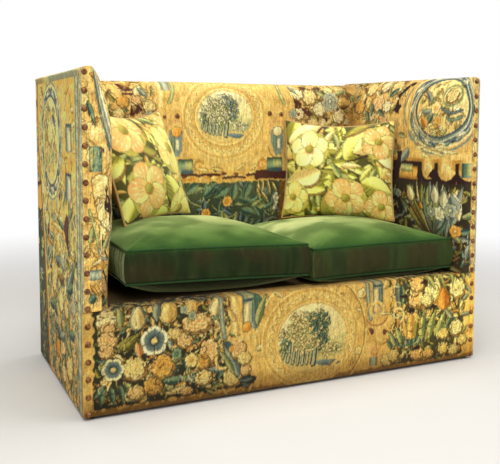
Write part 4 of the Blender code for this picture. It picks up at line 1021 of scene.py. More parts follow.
@dataclass(frozen=True)
class OutsideDesign:
    """The tapestry outside an arm: two small windows, an oval frame and leaves."""

    low: Spot = (-20, 0)
    high: Spot = (730, 1000)

    def draw(self) -> Picture:
        """Paint the design.

        Returns:
            The picture, in millimetres behind the arm's front and up.
        """
        cloth = Picture(self.low, self.high, G, seed=43)
        cloth.meadow(60, 700, 440, 960, 170, [S, S, SG, C, G], (30, 60), 0.1)
        self.draw_lower_leaves(cloth)
        self.draw_oval(cloth)
        self.draw_edges(cloth)
        cloth.strands(0, 720, 20, 980, 700, [S, G, O, SG])
        cloth.weave(fade=0.22, yellowed=(1.06, 1.04, 0.92))
        # Painted light: the outside of the arm is made brighter, as if lit more strongly.
        cloth.paint_side_light(1.2, (1.18, 1.165, 1.17))
        return cloth

    def draw_lower_leaves(self, cloth: Picture) -> None:
        """The leaves and flowers under the oval."""
        cloth.each(
            cloth.meadow, (60, 620, 380, 620, 150, [SG, S, SL, C, T], (30, 60), 0.15),
            (60, 600, 20, 440, 620, [T, SG, S, SL, C, SL, OL, S], (30, 60), 0.2))
        for x, z, turn, dye in (
                (120, 420, 280, T), (140, 400, 300, SL), (120, 360, 330, T), (240, 390, 5, SL),
                (300, 400, 350, N), (250, 360, 340, B), (360, 220, 20, T), (420, 240, 350, T),
                (240, 190, 330, SL), (300, 160, 10, N), (100, 220, 340, T), (160, 140, 20, SG)):
            cloth.leaf(x, z, 90, 34, turn, dye, 0.2)
        for x, z, radius, dye in (
                (180, 100, 40, S), (300, 280, 36, S), (420, 320, 34, SA), (360, 120, 32, O),
                (220, 270, 30, SA), (460, 160, 30, T), (120, 300, 30, SL), (270, 60, 30, C)):
            cloth.rose(x, z, radius, dye, 12, 0.9)
        cloth.patch([(177, 440), (182, 550), (205, 562), (235, 530), (255, 515), (225, 480),
                     (185, 440)], M.middle, 4)
        cloth.each(cloth.leaf, (245, 512, 110, 20, 8, T, 0.1), (260, 500, 160, 22, 2, S, 0.05))
        cloth.patch([(490, 505), (515, 495), (528, 460), (500, 455), (490, 480)], M.middle, 4)
        cloth.each(cloth.leaf, (400, 465, 100, 18, 2, SL, 0.05), (410, 440, 120, 16, 3, O, 0.05))

    def draw_oval(self, cloth: Picture) -> None:
        """The oval frame, its fruit, and the two small windows."""
        cloth.spot(435, 775, 150, 158, S)
        cloth.each(
            cloth.meadow, (330, 540, 670, 880, 40, [S, SG, G, OR, C], (20, 45), 0.35),
            (340, 540, 670, 880, 110, [S, SG, C, SL, G], (15, 40), 0.3))
        cloth.ring(430, 770, 163, 166, 30, C)
        for index in range(46):
            turn = 7.8 * index
            px = 430 + 160 * math.cos(math.radians(turn))
            pz = 770 + 163 * math.sin(math.radians(turn))
            cloth.leaf(px, pz, 38, 16, turn + 80 + 24 * (index % 2), (SL, W, SL, N)[index % 4], 0.3,
                       edge=SL)
        cloth.each(
            cloth.ring, (432, 772, 142, 144, 8, N), (436, 774, 130, 132, 8, C),
            (430, 770, 182, 186, 6, SL))
        cloth.rose(440, 800, 40, S, 0)
        cloth.blossom(460, 715, 30, 5, SG, T, 0)
        cloth.leaf(400, 850, 60, 24, 200, N, 0.2)
        for left, bottom in ((112, 748), (124, 605)):
            cloth.each(
                cloth.pillar, (left, left + 78, bottom, bottom + 76, SL),
                (left + 10, left + 48, bottom + 6, bottom + 60, C))
            cloth.stroke([(left + 2, bottom + 75), (left + 76, bottom + 76),
                          (left + 76, bottom + 30)], 10, N.middle)
        cloth.spot(298, 605, 13, 13, M)

    def draw_edges(self, cloth: Picture) -> None:
        """The front stripe, the sewn-on piece behind the slanting seam and its dark flowers."""
        cloth.pillar(12, 58, 0, 1000, SL)
        for index in range(52):
            cloth.stroke([(18, 20 + index * 18.5), (52, 26 + index * 18.5)], 2.2,
                         (W.middle, T.middle)[index % 2])
        cloth.patch([(-20, 972), (730, 966), (730, 976), (-20, 980)], SL.middle, 1)
        seam = [(655, 1000), (650, 770), (605, 560), (575, 400), (530, 180), (495, 0)]
        cloth.patch(seam + [(750, 0), (750, 1000)], G.middle, 3)
        cloth.meadow(660, 720, 620, 960, 22, [O, S, SL, M], (30, 50), 0.3)
        cloth.patch([(600, 530), (750, 530), (750, 0), (530, 0), (545, 120), (585, 300),
                     (600, 450)], shade("39433a"), 5)
        cloth.meadow(560, 720, 20, 500, 70, [T, N, SG, OL, SL], (30, 60), 0.2)
        cloth.each(
            cloth.stroke, ([(x + 12, z) for x, z in seam], 30, O.middle),
            ([(x + 20, z) for x, z in seam], 12, O.dark),
            ([(x + 2, z) for x, z in seam], 8, G.light), ([(630, 625), (730, 612)], 14, M.middle))


@dataclass(frozen=True)
class ArmFrontDesign:
    """The tapestry on an arm's front: gold with curling blue ribbons and a teal block."""

    low: Spot = (0, 290)
    high: Spot = (100, 1000)

    def draw(self) -> Picture:
        """Paint the design.

        Returns:
            The picture, in millimetres in from the arm's outer edge and up.
        """
        cloth = Picture(self.low, self.high, G, seed=59)
        cloth.meadow(0, 100, 300, 980, 46, [G, S, S, O], (20, 50), 0.15)
        cloth.pillar(0, 6, 290, 1000, SL)
        cloth.each(
            cloth.band, (bow((50, 1000), (48, 900), (96, 770)), 14, SL),
            (bow((62, 985), (66, 900), (98, 800)), 9, W),
            (bow((44, 985), (44, 890), (90, 755)), 4, N))
        cloth.stroke(bow((40, 980), (40, 910), (52, 870)), 2, O.middle)
        cloth.leaf(23, 893, 72, 14, 282, T, 0.1)
        cloth.each(cloth.pillar, (26, 62, 698, 768, T), (26, 38, 704, 764, SG))
        cloth.strands(28, 60, 700, 750, 26, [T, N, SL], 14)
        cloth.each(
            cloth.patch,
            ([(30, 684), (56, 694), (84, 684), (92, 620), (86, 530), (68, 468), (52, 500),
              (47, 580), (34, 630)], O.dark, 3),
            ([(33, 682), (56, 690), (80, 680), (88, 620), (82, 530), (68, 474), (55, 500),
              (50, 580), (37, 630)], S.light, 3))
        cloth.meadow(44, 80, 500, 670, 14, [S, C, G], (20, 40), 0.0)
        cloth.each(
            cloth.patch, ([(54, 763), (66, 762), (74, 754), (62, 750)], M.middle, 2),
            ([(76, 672), (80, 640), (94, 605), (90, 555), (82, 585), (70, 590), (72, 630)], M.dark,
             4))
        cloth.scroll(56, 655, 20, 90, S, 1)
        cloth.spot(50, 800, 24, 20, S)
        cloth.each(
            cloth.band, (bow((24, 592), (46, 520), (50, 475)), 6, SG),
            (bow((50, 485), (56, 452), (90, 452)), 7, SL))
        cloth.leaf(24, 500, 50, 18, 70, SG, 0.2)
        cloth.stroke(bow((66, 520), (66, 490), (92, 452)), 5, M.dark)
        cloth.leaf(76, 475, 60, 18, 80, SG, -0.2)
        cloth.pillar(22, 62, 398, 426, SL, upright=False)
        cloth.strands(22, 62, 390, 420, 16, [N, SL, W], 12)
        cloth.meadow(30, 80, 300, 390, 16, [S, SG, C, O], (15, 30), 0.1)
        cloth.leaf(30, 440, 50, 10, 20, C, 0.2)
        cloth.rose(70, 380, 20, SA, 0, 1.0)
        cloth.each(cloth.leaf, (20, 335, 30, 20, 40, T, 0.2), (24, 385, 40, 8, 300, O, 0.1))
        cloth.each(
            cloth.patch, ([(56, 352), (68, 356), (78, 344), (70, 340)], M.dark, 2),
            ([(72, 420), (85, 400), (88, 375), (80, 395)], M.dark, 3))
        cloth.leaf(60, 325, 35, 16, 10, T, 0.2)
        cloth.strands(0, 100, 300, 990, 260, [S, S, O, C], 12)
        cloth.weave(hatch=2.2, streak=0.12)
        return cloth


@dataclass(frozen=True)
class BackOutsideDesign:
    """The tapestry on the outside of the back: an oval view among large leaves."""

    low: Spot = (-720, 0)
    high: Spot = (720, 1000)

    def draw(self) -> Picture:
        """Paint the design.

        Returns:
            The picture, in millimetres across and up the outside of the back.
        """
        cloth = Picture(self.low, self.high, G, seed=71, pitch=1.8)
        cloth.patch([(-700, 20), (700, 20), (700, 340), (-700, 340)], shade("303c3c"), 20)
        cloth.each(
            cloth.meadow, (-680, 680, 40, 360, 210, [T, N, SG, SL, OL], (50, 90), 0.12),
            (-680, 680, 400, 960, 210, [S, G, G, C, O], (30, 70), 0.2))
        for hand in (-1, 1):
            for x, z, turn, dye in (
                    (400, 400, 60, T), (520, 420, 100, SG), (600, 550, 80, T), (340, 450, 120, SG),
                    (460, 620, 70, SL)):
                cloth.frond(hand * x, z, 260, turn if hand > 0 else 180 - turn, dye, 5, 0.2 * hand)
            for x, z, radius, dye in (
                    (360, 780, 55, SA), (540, 840, 50, S), (480, 500, 50, C), (620, 340, 45, SA),
                    (300, 260, 45, S), (480, 200, 50, OR), (120, 220, 45, SA), (620, 660, 40, SL)):
                cloth.rose(hand * x, z, radius, dye, 20 * hand, 0.9)
            cloth.blossom(hand * 420, 340, 50, 6, N, S, 0, rim=W)
        cloth.spot(0, 640, 262, 232, S)
        cloth.ring(0, 640, 246, 216, 20, G)
        cloth.ring(0, 640, 220, 190, 32, S, beads=40)
        cloth.grove(0, 640, 186, 156, (T, S), -1)
        cloth.ring(0, 640, 192, 162, 12, S)
        for x in (-705, 705):
            cloth.pillar(x - 20, x + 20, 0, 1000, SL)
        cloth.strands(-700, 700, 20, 980, 900, [S, G, O, SG], 25)
        cloth.weave()
        return cloth


@dataclass(frozen=True)
class PrintDesign:
    """The printed cotton of a scatter cushion: large soft flowers and pale leaves."""

    side: str
    half: float = 250

    def draw(self) -> Picture:
        """Paint the design.

        Returns:
            The picture, in millimetres from the middle of the cushion.
        """
        half = self.half
        cloth = Picture((-half, -half), (half, half), C, seed=len(self.side), pitch=1.5, outline=1,
                        ink=OL)
        cloth.patch([(-half, -half), (half, -half), (half, half), (-half, half)],
                    shade("46451a"), 10)
        left = self.side == "left"
        dyes = [L, OL, S, SG, L, G] if left else [L, OL, S, SG, C, L]
        cloth.meadow(-half, half, -half, half, 260, dyes, (50, 90), 0.0)
        if left:
            self.draw_poppies(cloth)
        else:
            self.draw_foliage(cloth)
        cloth.weave(1.2, 0.03, 0.02, (1.2, 1.17, 0.92))
        return cloth

    def draw_poppies(self, cloth: Picture) -> None:
        """Peach flowers with olive eyes among cream and green leaves."""
        self.place_leaves(cloth, (
            (20, -50, 170, 85, 300, L, 0.3), (100, 110, 150, 70, 35, L, -0.3),
            (-20, 140, 140, 60, 120, OL, 0.3), (-160, 20, 130, 70, 200, L, 0.3),
            (200, -100, 160, 80, 250, S, 0.3), (-60, -160, 150, 80, 330, L, 0.2),
            (160, 0, 120, 60, 350, OL, 0.3), (-200, -180, 150, 70, 60, L, -0.3),
            (0, 30, 100, 50, 150, OL, 0.2)))
        self.place_blooms(cloth, (
            (-115, 115, 85, 10, SA), (105, 45, 90, 60, S), (-85, -85, 90, 110, SA),
            (115, -165, 70, 150, S), (170, 180, 65, 20, SA)))

    def draw_foliage(self, cloth: Picture) -> None:
        """Broad cream leaves with green ribs, and a few peach and slate shapes."""
        self.place_leaves(cloth, (
            (-220, -180, 200, 90, 55, L, 0.2), (-20, -210, 190, 100, 85, OL, -0.2),
            (170, -200, 190, 90, 110, L, 0.3), (-200, 40, 190, 80, 35, S, 0.3),
            (30, 30, 190, 90, 60, L, -0.3), (210, 0, 180, 80, 115, C, 0.2),
            (-100, 180, 130, 60, 10, SL, 0.3), (-160, 190, 120, 60, 250, L, 0.2),
            (90, -50, 150, 80, 345, L, -0.3), (-40, -80, 130, 60, 160, L, 0.3),
            (120, 190, 120, 50, 200, OL, 0.3), (20, -20, 110, 50, 290, SG, 0.2),
            (-190, 100, 150, 75, 20, C, 0.2), (60, 60, 160, 70, 25, C, 0.3),
            (-60, -10, 140, 70, 210, C, -0.2)))
        self.place_blooms(cloth, (
            (-105, 70, 70, 20, C), (150, 100, 62, 70, SA), (35, -110, 74, 40, SA),
            (-165, -110, 58, 5, S), (165, -140, 60, 30, SA)))

    def place_leaves(self, cloth: Picture, rows: tuple) -> None:
        """Lay large leaves, each with a shadow on what lies under it."""
        for x, z, length, width, turn, dye, bend in rows:
            cloth.leaf(x + 3, z - 5, length * 1.03, width * 1.12, turn, B, bend)
            cloth.leaf(x, z, length, width, turn, dye, bend, edge=OL)

    def place_blooms(self, cloth: Picture, rows: tuple) -> None:
        """Lay open flowers of broad petals round an olive eye, each over its own shadow."""
        for x, z, radius, turn, dye in rows:
            cloth.blossom(x + 2, z - 4, radius * 1.03, 5, OL, OL, turn + 36, 1.0, 0.2)
            for step in (0, 2, 4, 1, 3):
                way = turn + 72 * step
                cloth.spot(*ray(x, z, 0.52 * radius, way), radius * 0.52, radius * 0.46, dye, way,
                           lined=True)
                for fan in (-24, -8, 8, 24):
                    for start, end, width, tone, taper in (
                            (0.25, 0.62, 2, dye.dark, 0.95), (0.66, 0.92, 4.5, C.light, 0.9)):
                        cloth.stroke([ray(x, z, start * radius, way + fan),
                                      ray(x, z, end * radius, way + fan)], width, tone, taper)
            cloth.spot(x, z, radius * 0.26, radius * 0.25, O)
            cloth.spot(x, z, radius * 0.19, radius * 0.18, OL, lined=True)


# The sofa's sizes

@dataclass(frozen=True)
class Plan:
    """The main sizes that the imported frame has, in metres, and how places are set out."""

    half_width: float = 0.703
    depth: float = 0.71
    height: float = 0.98
    narrowing: float = 0.08014
    front: float = -0.3525
    arm: float = 0.09
    back: float = 0.114
    deck: float = 0.309
    gap: float = 0.0003
    cover: float = 0.004
    skin: float = 0.0043
    bottom: float = 0.0098
    pad_root: float = 0.0466
    pad_bottom: float = 0.271
    hook: float = 0.96
    frame_top: float = 0.9597
    back_frame: float = 0.6634
    seat_half: float = 0.622
    seat_back: float = 0.596
    arm_crown: float = 0.007
    back_crown: float = 0.01
    round_in: float = 0.046
    round_deep: float = 0.035
    foot_ledge: float = 0.003
    turned: float = 0.0732
    fuller: float = 0.0095
    facing: float = 0.085
    facing_crown: float = 0.007

    @property
    def rest(self) -> float:
        """The level that the cushions rest on."""
        return self.deck + self.gap

    @property
    def deck_half(self) -> float:
        """Half the width of the cloth on the deck, clear of the arms."""
        return self.seat_half - 0.0005

    def set_out(self, points: np.ndarray) -> np.ndarray:
        """Turn (across, behind the front, height) into places in the frame.

        Args:
            points: Places in the sofa's own measure, before its plan narrows to the back.

        Returns:
            The same places in the frame's measure.
        """
        placed = np.array(points, float)
        placed[..., 0] *= 1 - self.narrowing * placed[..., 1]
        placed[..., 1] += self.front
        return placed

    def arm_swell(self, deep: np.ndarray) -> np.ndarray:
        """How much the arm's padding swells at places behind the front."""
        part = (np.asarray(deep) - self.skin) / (self.depth - self.skin)
        return self.arm_crown * (1 - (2 * part - 1) ** 2)

    def back_swell(self, across: np.ndarray) -> np.ndarray:
        """How much the back's padding swells at places across the sofa."""
        part = np.clip(np.asarray(across) / (self.half_width - self.pad_root), -1, 1)
        return self.back_crown * (1 - part * part)

    def rounding(self, deep: np.ndarray) -> np.ndarray:
        """What an arm's rounded front takes off its thickness at places behind the front."""
        part = 1 - np.clip(np.asarray(deep) / self.round_deep, 0, 1)
        return self.round_in * (1 - np.sqrt(1 - part * part))

    def fullness(self, deep: np.ndarray, height: np.ndarray) -> np.ndarray:
        """How much fuller than its solid an arm is near its front, at middle height."""
        near = smooth_step(deep / 0.035) * (1 - smooth_step((deep - 0.08) / 0.14))
        level = smooth_step((height - 0.34) / 0.2) * (1 - smooth_step((height - 0.8) / 0.16))
        return self.fuller * near * level

    def arm_rise(self, out: np.ndarray, height: np.ndarray) -> np.ndarray:
        """How far the top of an arm is crowned at a distance from its outer face."""
        crown = np.sin(math.pi * np.clip(out / self.facing, 0, 1)) ** 0.8
        return self.facing_crown * crown * smooth_step((height - 0.9) / 0.05)


PLAN = Plan()


@dataclass(frozen=True)
class PadCurve:
    """The line that a padded inside follows over its rail and down behind the seat."""

    thickness: float
    top_flat: float
    roll_drop: float
    tuck: float
    edge: float = 0.008
    tuck_bottom: float = 0.464
    tuck_rise: float = 0.12
    hook_points: int = 4

    def lines(self, swell: np.ndarray, step: float,
              taken: np.ndarray | float = 0.0) -> tuple[np.ndarray, np.ndarray]:
        """The closed section for each swell.

        Args:
            swell: How much the pad swells at each station.
            step: The spacing of points on the part that shows.
            taken: What a rounded front takes off it at each station, above the deck.

        Returns:
            Points (station, place, out and height), and each place's measure along the
            cloth, which equals the height on the flat of the inner face.
        """
        swell = np.asarray(swell, float)
        full = self.thickness + swell - taken
        seat = self.thickness - self.tuck + np.zeros_like(swell) - taken
        top = PLAN.height
        rows: list[tuple[np.ndarray, np.ndarray]] = []

        def add(out: np.ndarray | float, height: np.ndarray | float) -> None:
            """Add one place of the section for all stations."""
            rows.append((out + np.zeros_like(swell), height + np.zeros_like(swell)))

        add(PLAN.pad_root, PLAN.pad_bottom)
        add(PLAN.pad_root, PLAN.hook)
        add(0.0, PLAN.hook)
        add(0.0, top - self.edge)
        for angle in np.linspace(0, math.pi / 2, 5)[1:]:
            add(self.edge * (1 - math.cos(angle)), top - self.edge * (1 - math.sin(angle)))
        for out in np.arange(self.edge + step, self.top_flat, step):
            add(out, top)
        count = int(self.roll_drop * 1.25 / step)
        for angle in np.linspace(0, math.pi / 2, count):
            add(self.top_flat + (full - self.top_flat) * math.sin(angle),
                top - self.roll_drop * (1 - math.cos(angle)))
        lowest = self.tuck_bottom + self.tuck_rise
        for height in np.arange(top - self.roll_drop - step, lowest, -step):
            add(full, height)
        for part in np.linspace(0, 1, int(self.tuck_rise / step)):
            fall = (1 - math.cos(math.pi * part)) / 2
            add(full + (seat - full) * fall, lowest - self.tuck_rise * part)
        ledge = PLAN.deck + PLAN.foot_ledge
        for height in np.arange(self.tuck_bottom - step, ledge + step / 2, -step):
            add(seat, height)
        add(seat, ledge)
        add(seat + taken, PLAN.deck)
        add(seat + taken, PLAN.pad_bottom)
        points = np.stack([np.stack(row, -1) for row in rows], 1)
        middle = points[len(points) // 2]
        run = np.concatenate(([0.0], np.cumsum(np.hypot(*np.diff(middle, axis=0).T))))
        flat = int(np.argmin(np.abs(middle[:, 1] - lowest) + (middle[:, 0] < 0.05)))
        return points, run[flat] - run + lowest

    def reach(self, height: np.ndarray, swell: np.ndarray,
              taken: np.ndarray | float = 0.0) -> np.ndarray:
        """How far the padding reaches from its outer face at a height."""
        full = self.thickness + swell - taken
        fall = np.clip(1 - (PLAN.height - height) / self.roll_drop, 0, 1)
        roll = self.top_flat + (full - self.top_flat) * np.sqrt(1 - fall * fall)
        tucked = np.clip((self.tuck_bottom + self.tuck_rise - height) / self.tuck_rise, 0, 1)
        drawn = (1 - np.cos(math.pi * tucked)) / 2 * (self.tuck + swell)
        return np.where(height > PLAN.height - self.roll_drop, roll, full - drawn)


ARM_CURVE = PadCurve(PLAN.arm, 0.03, 0.16, 0.009)
BACK_CURVE = PadCurve(PLAN.back, 0.052, 0.065, 0.004)


# Meshes

def as_linear(colours: np.ndarray) -> np.ndarray:
    """Turn display colours into the linear ones that a shader works with."""
    held = np.clip(colours, 0.0, 1.0)
    return np.where(held <= 0.04045, held / 12.92, ((held + 0.055) / 1.055) ** 2.4)


def link(piece: bpy.types.Object) -> bpy.types.Object:
    """Put an object in the scene."""
    bpy.context.scene.collection.objects.link(piece)
    return piece


def set_attribute(piece: bpy.types.Object, name: str, values: np.ndarray) -> None:
    """Store a colour or a place on each point of a piece.

    Args:
        piece: The piece.
        name: Dyed for linear colours, or Lie for places on the cloth.
        values: One row for each point.
    """
    kind, target, parts = (("FLOAT_COLOR", "color", 4) if name == "Dyed"
                           else ("FLOAT_VECTOR", "vector", 3))
    values = np.asarray(values, np.float32)
    full = np.pad(values, ((0, 0), (0, parts - values.shape[1])),
                  constant_values=1.0 if name == "Dyed" else 0.0)
    piece.data.attributes.new(name, kind, "POINT").data.foreach_set(target, full.ravel())


def lay_cloth(piece: bpy.types.Object, colours: np.ndarray, *lie: np.ndarray) -> None:
    """Store a cloth's display colours, and each point's place across and up the cloth."""
    set_attribute(piece, "Dyed", as_linear(colours).reshape(-1, 3))
    set_attribute(piece, "Lie", np.stack(np.broadcast_arrays(*lie), -1).reshape(-1, 2))


def mesh_object(name: str, points: np.ndarray, faces: list,
                smooth: bool = True) -> bpy.types.Object:
    """Make an object from points and faces.

    Args:
        name: The piece's name.
        points: Its points, one row each.
        faces: Lists of point numbers.
        smooth: Whether its faces are shaded smooth.

    Returns:
        The object, linked to the scene.
    """
    mesh = bpy.data.meshes.new(name)
    mesh.from_pydata(np.asarray(points, float).reshape(-1, 3).tolist(), [], faces)
    mesh.validate()
    mesh.polygons.foreach_set("use_smooth", [smooth] * len(mesh.polygons))
    mesh.update()
    return link(bpy.data.objects.new(name, mesh))


def grid_faces(rows: int, columns: int, around: bool = False,
               keep: np.ndarray | None = None) -> list[tuple[int, ...]]:
    """The quads of a grid.

    Args:
        rows, columns: How many points it has each way.
        around: Whether the last column joins the first.
        keep: Which of the quads are made, or None for all.

    Returns:
        The quads as point numbers.
    """
    across = columns if around else columns - 1
    row, column = np.meshgrid(np.arange(rows - 1), np.arange(across), indexing="ij")
    after = (column + 1) % columns
    quads = np.stack((row * columns + column, row * columns + after,
                      (row + 1) * columns + after, (row + 1) * columns + column), -1)
    return (quads[keep] if keep is not None else quads.reshape(-1, 4)).tolist()


def closed_faces(rows: int, columns: int) -> list[tuple[int, ...]]:
    """The quads of a grid whose last column joins the first, with both ends closed."""
    last = (rows - 1) * columns
    return [*grid_faces(rows, columns, around=True), tuple(range(columns))[::-1],
            tuple(range(last, last + columns))]


@contextmanager
def editing(piece: bpy.types.Object) -> Iterator[bmesh.types.BMesh]:
    """Open a piece's mesh for editing, and write it back afterwards."""
    bm = bmesh.new()
    bm.from_mesh(piece.data)
    yield bm
    bm.to_mesh(piece.data)
    bm.free()


def turn_rim(piece: bpy.types.Object, inward: tuple[float, float, float]) -> None:
    """Turn the free edges of a sheet over, so that it has a hem.

    Args:
        piece: The sheet.
        inward: How far and which way the hem goes.
    """
    with editing(piece) as bm:
        edges = [edge for edge in bm.edges if edge.is_boundary]
        made = bmesh.ops.extrude_edge_only(bm, edges=edges)["geom"]
        for vertex in made:
            if isinstance(vertex, bmesh.types.BMVert):
                vertex.co += Vector(inward)
    piece.data.polygons.foreach_set("use_smooth", [True] * len(piece.data.polygons))


def weld(piece: bpy.types.Object, distance: float = 0.00005) -> None:
    """Join points that lie on each other and drop the faces that this empties."""
    with editing(piece) as bm:
        bmesh.ops.remove_doubles(bm, verts=bm.verts, dist=distance)
        bmesh.ops.dissolve_degenerate(bm, edges=bm.edges, dist=distance / 5)
        bmesh.ops.recalc_face_normals(bm, faces=bm.faces)


def drop_loose(piece: bpy.types.Object) -> None:
    """Delete the points that no face uses."""
    with editing(piece) as bm:
        loose = [vertex for vertex in bm.verts if not vertex.link_faces]
        bmesh.ops.delete(bm, geom=loose, context="VERTS")


def eased(loop: np.ndarray) -> np.ndarray:
    """A loop with twice as many points, eased at its corners."""
    after = np.roll(loop, -1, 0)
    return np.stack((0.75 * loop + 0.25 * after, 0.25 * loop + 0.75 * after), 1).reshape(-1, 3)


def tube(name: str, path: np.ndarray, radius: float | np.ndarray,
         sides: int = 8) -> bpy.types.Object:
    """Sweep a round section round a closed path.

    Args:
        name: The piece's name.
        path: The points that it follows.
        radius: Its radius, or one for each point.
        sides: How many sides its section has.

    Returns:
        The tube, with its own measure in the attribute Lie.
    """
    path = np.asarray(path, float)
    count = len(path)
    forward = np.roll(path, -1, 0) - np.roll(path, 1, 0)
    forward /= np.linalg.norm(forward, axis=1)[:, None] + 1e-12
    side = np.zeros_like(path)
    start = np.cross(forward[0], (0.0, 0.0, 1.0))
    if np.linalg.norm(start) < 0.1:
        start = np.cross(forward[0], (1.0, 0.0, 0.0))
    for index in range(count):
        start = start - forward[index] * (start @ forward[index])
        start = start / np.linalg.norm(start)
        side[index] = start
    up = np.cross(forward, side)
    angles = np.linspace(0, 2 * math.pi, sides, endpoint=False)
    wide = np.broadcast_to(radius, count)[:, None, None]
    rings = path[:, None] + wide * (np.cos(angles)[None, :, None] * side[:, None]
                                    + np.sin(angles)[None, :, None] * up[:, None])
    rings = np.concatenate((rings, rings[:1]))
    piece = mesh_object(name, rings, grid_faces(count + 1, sides, around=True))
    run = np.concatenate(([0.0], np.cumsum(np.linalg.norm(np.diff(rings[:, 0], axis=0), axis=1))))
    lie = np.stack((np.repeat(run, sides),
                    np.tile(angles * float(np.mean(radius)), count + 1)), 1)
    set_attribute(piece, "Lie", lie)
    weld(piece)
    return piece


# Shader graphs

class Term:
    """A socket that can stand in a Python expression on values."""

    def __init__(self, graph: "Graph", socket: bpy.types.NodeSocket) -> None:
        """Wrap a socket of a graph."""
        self.graph = graph
        self.socket = socket

    def math(self, operation: str, *values: "Term | float") -> "Term":
        """A Math node on values.

        Args:
            operation: The node's operation.
            values: Its inputs in order.

        Returns:
            Its result.
        """
        return self.graph.node("ShaderNodeMath", {"operation": operation}, dict(enumerate(values)))

    def __add__(self, other: "Term | float") -> "Term":
        """Add."""
        return self.math("ADD", self, other)

    def __radd__(self, other: float) -> "Term":
        """Add to a number."""
        return self.math("ADD", other, self)

    def __sub__(self, other: "Term | float") -> "Term":
        """Take away."""
        return self.math("SUBTRACT", self, other)

    def __rsub__(self, other: float) -> "Term":
        """Take away from a number."""
        return self.math("SUBTRACT", other, self)

    def __mul__(self, other: "Term | float") -> "Term":
        """Multiply."""
        return self.math("MULTIPLY", self, other)

    def __rmul__(self, other: float) -> "Term":
        """Multiply a number."""
        return self.math("MULTIPLY", other, self)

    def __truediv__(self, other: "Term | float") -> "Term":
        """Divide."""
        return self.math("DIVIDE", self, other)

    def __pow__(self, other: "Term | float") -> "Term":
        """Raise to a power."""
        return self.math("POWER", self, other)

    def wave(self, period: float, shift: "Term | float" = 0.0) -> "Term":
        """A wave between 0 and 1 along this value, with a period in metres."""
        return self.math("SINE", self * (2 * math.pi / period) + shift) * 0.5 + 0.5

    def band(self, start: float, end: float) -> "Term":
        """Rise smoothly from 0 at start to 1 at end."""
        return self.graph.node("ShaderNodeMapRange", {"interpolation_type": "SMOOTHSTEP"},
                               {0: self, 1: start, 2: end, 3: 0.0, 4: 1.0})


class Graph:
    """The nodes of one material, or of the world."""

    def __init__(self, name: str, world: bool = False) -> None:
        """Start a material with its shader, or a world with its background."""
        kept = bpy.data.worlds if world else bpy.data.materials
        self.material = kept.new(name)
        self.material.use_nodes = True
        self.tree = self.material.node_tree
        self.shader = self.tree.nodes["Background" if world else "Principled BSDF"]

    def node(self, kind: str, settings: dict | None = None, inputs: dict | None = None,
             output: int | str = 0) -> Term:
        """Add any node.

        Args:
            kind: The node's type.
            settings: Its settings, which are set first.
            inputs: The value or the link of each socket, by number or name.
            output: The socket that it gives.

        Returns:
            That socket.
        """
        node = self.tree.nodes.new(kind)
        for name, value in (settings or {}).items():
            setattr(node, name, value)
        for name, value in (inputs or {}).items():
            self.feed(node.inputs[name], value)
        return Term(self, node.outputs[output])

    def feed(self, socket: bpy.types.NodeSocket, value: "Term | float | tuple") -> None:
        """Link a socket to a term, or set its value."""
        if isinstance(value, Term):
            self.tree.links.new(value.socket, socket)
        elif isinstance(value, tuple) and len(value) == 3 and socket.type == "RGBA":
            socket.default_value = (*value, 1.0)
        else:
            socket.default_value = value

    def mix(self, share: Term, first: Term | tuple, second: Term | tuple) -> Term:
        """Blend two colours, by the share of the second."""
        return self.node("ShaderNodeMix", {"data_type": "RGBA"},
                         {0: share, 6: first, 7: second}, output=2)

    def noise(self, vector: Term, scale: float, detail: float = 3.0, rough: float = 0.55) -> Term:
        """Noise of a size, between 0 and 1."""
        return self.node("ShaderNodeTexNoise", {},
                         {"Vector": vector, "Scale": scale, "Detail": detail, "Roughness": rough})

    def shaded(self, light: Term) -> Term:
        """The colours that a mesh stores, with any painted light and shade, multiplied by a light.
        """
        return self.node("ShaderNodeVectorMath", {"operation": "SCALE"},
                         {0: self.attribute("Dyed", "Color"), "Scale": light})

    def stretch(self, vector: Term, scale: tuple[float, float, float]) -> Term:
        """A vector with each axis multiplied."""
        return self.node("ShaderNodeVectorMath", {"operation": "MULTIPLY"}, {0: vector, 1: scale})

    def split(self, vector: Term) -> tuple[Term, Term, Term]:
        """The three parts of a vector."""
        first = self.node("ShaderNodeSeparateXYZ", {}, {0: vector})
        outputs = first.socket.node.outputs
        return first, Term(self, outputs[1]), Term(self, outputs[2])

    def place(self) -> Term:
        """The place on the object in metres."""
        return self.node("ShaderNodeTexCoord", output="Object")

    def attribute(self, name: str, output: str = "Vector") -> Term:
        """What a mesh stores on its points under a name."""
        return self.node("ShaderNodeAttribute", {"attribute_name": name}, output=output)

    def finish(self, colour: Term | tuple, roughness: Term | float, height: Term | None = None,
               depth: float = 0.001, metallic: Term | float = 0.0, **fixed: float | tuple
               ) -> bpy.types.Material:
        """Feed the shader.

        Args:
            colour, roughness, metallic: What the shader's own sockets take.
            height: The relief, or None for none.
            depth: How deep the relief is in metres.
            fixed: Other sockets that are the same all over, by name with _ for a space.

        Returns:
            The material.
        """
        self.feed(self.shader.inputs["Base Color"], colour)
        self.feed(self.shader.inputs["Roughness"], roughness)
        self.feed(self.shader.inputs["Metallic"], metallic)
        for name, value in fixed.items():
            self.feed(self.shader.inputs[name.replace("_", " ")], value)
        if height is not None:
            bump = self.node("ShaderNodeBump", {}, {"Distance": depth, "Height": height,
                                                    "Strength": 1.0})
            self.feed(self.shader.inputs["Normal"], bump)
        return self.material


def tint(code: str) -> tuple[float, float, float]:
    """A colour code as the linear colour that a socket takes."""
    return tuple(float(part) for part in as_linear(np.array(shade(code))))


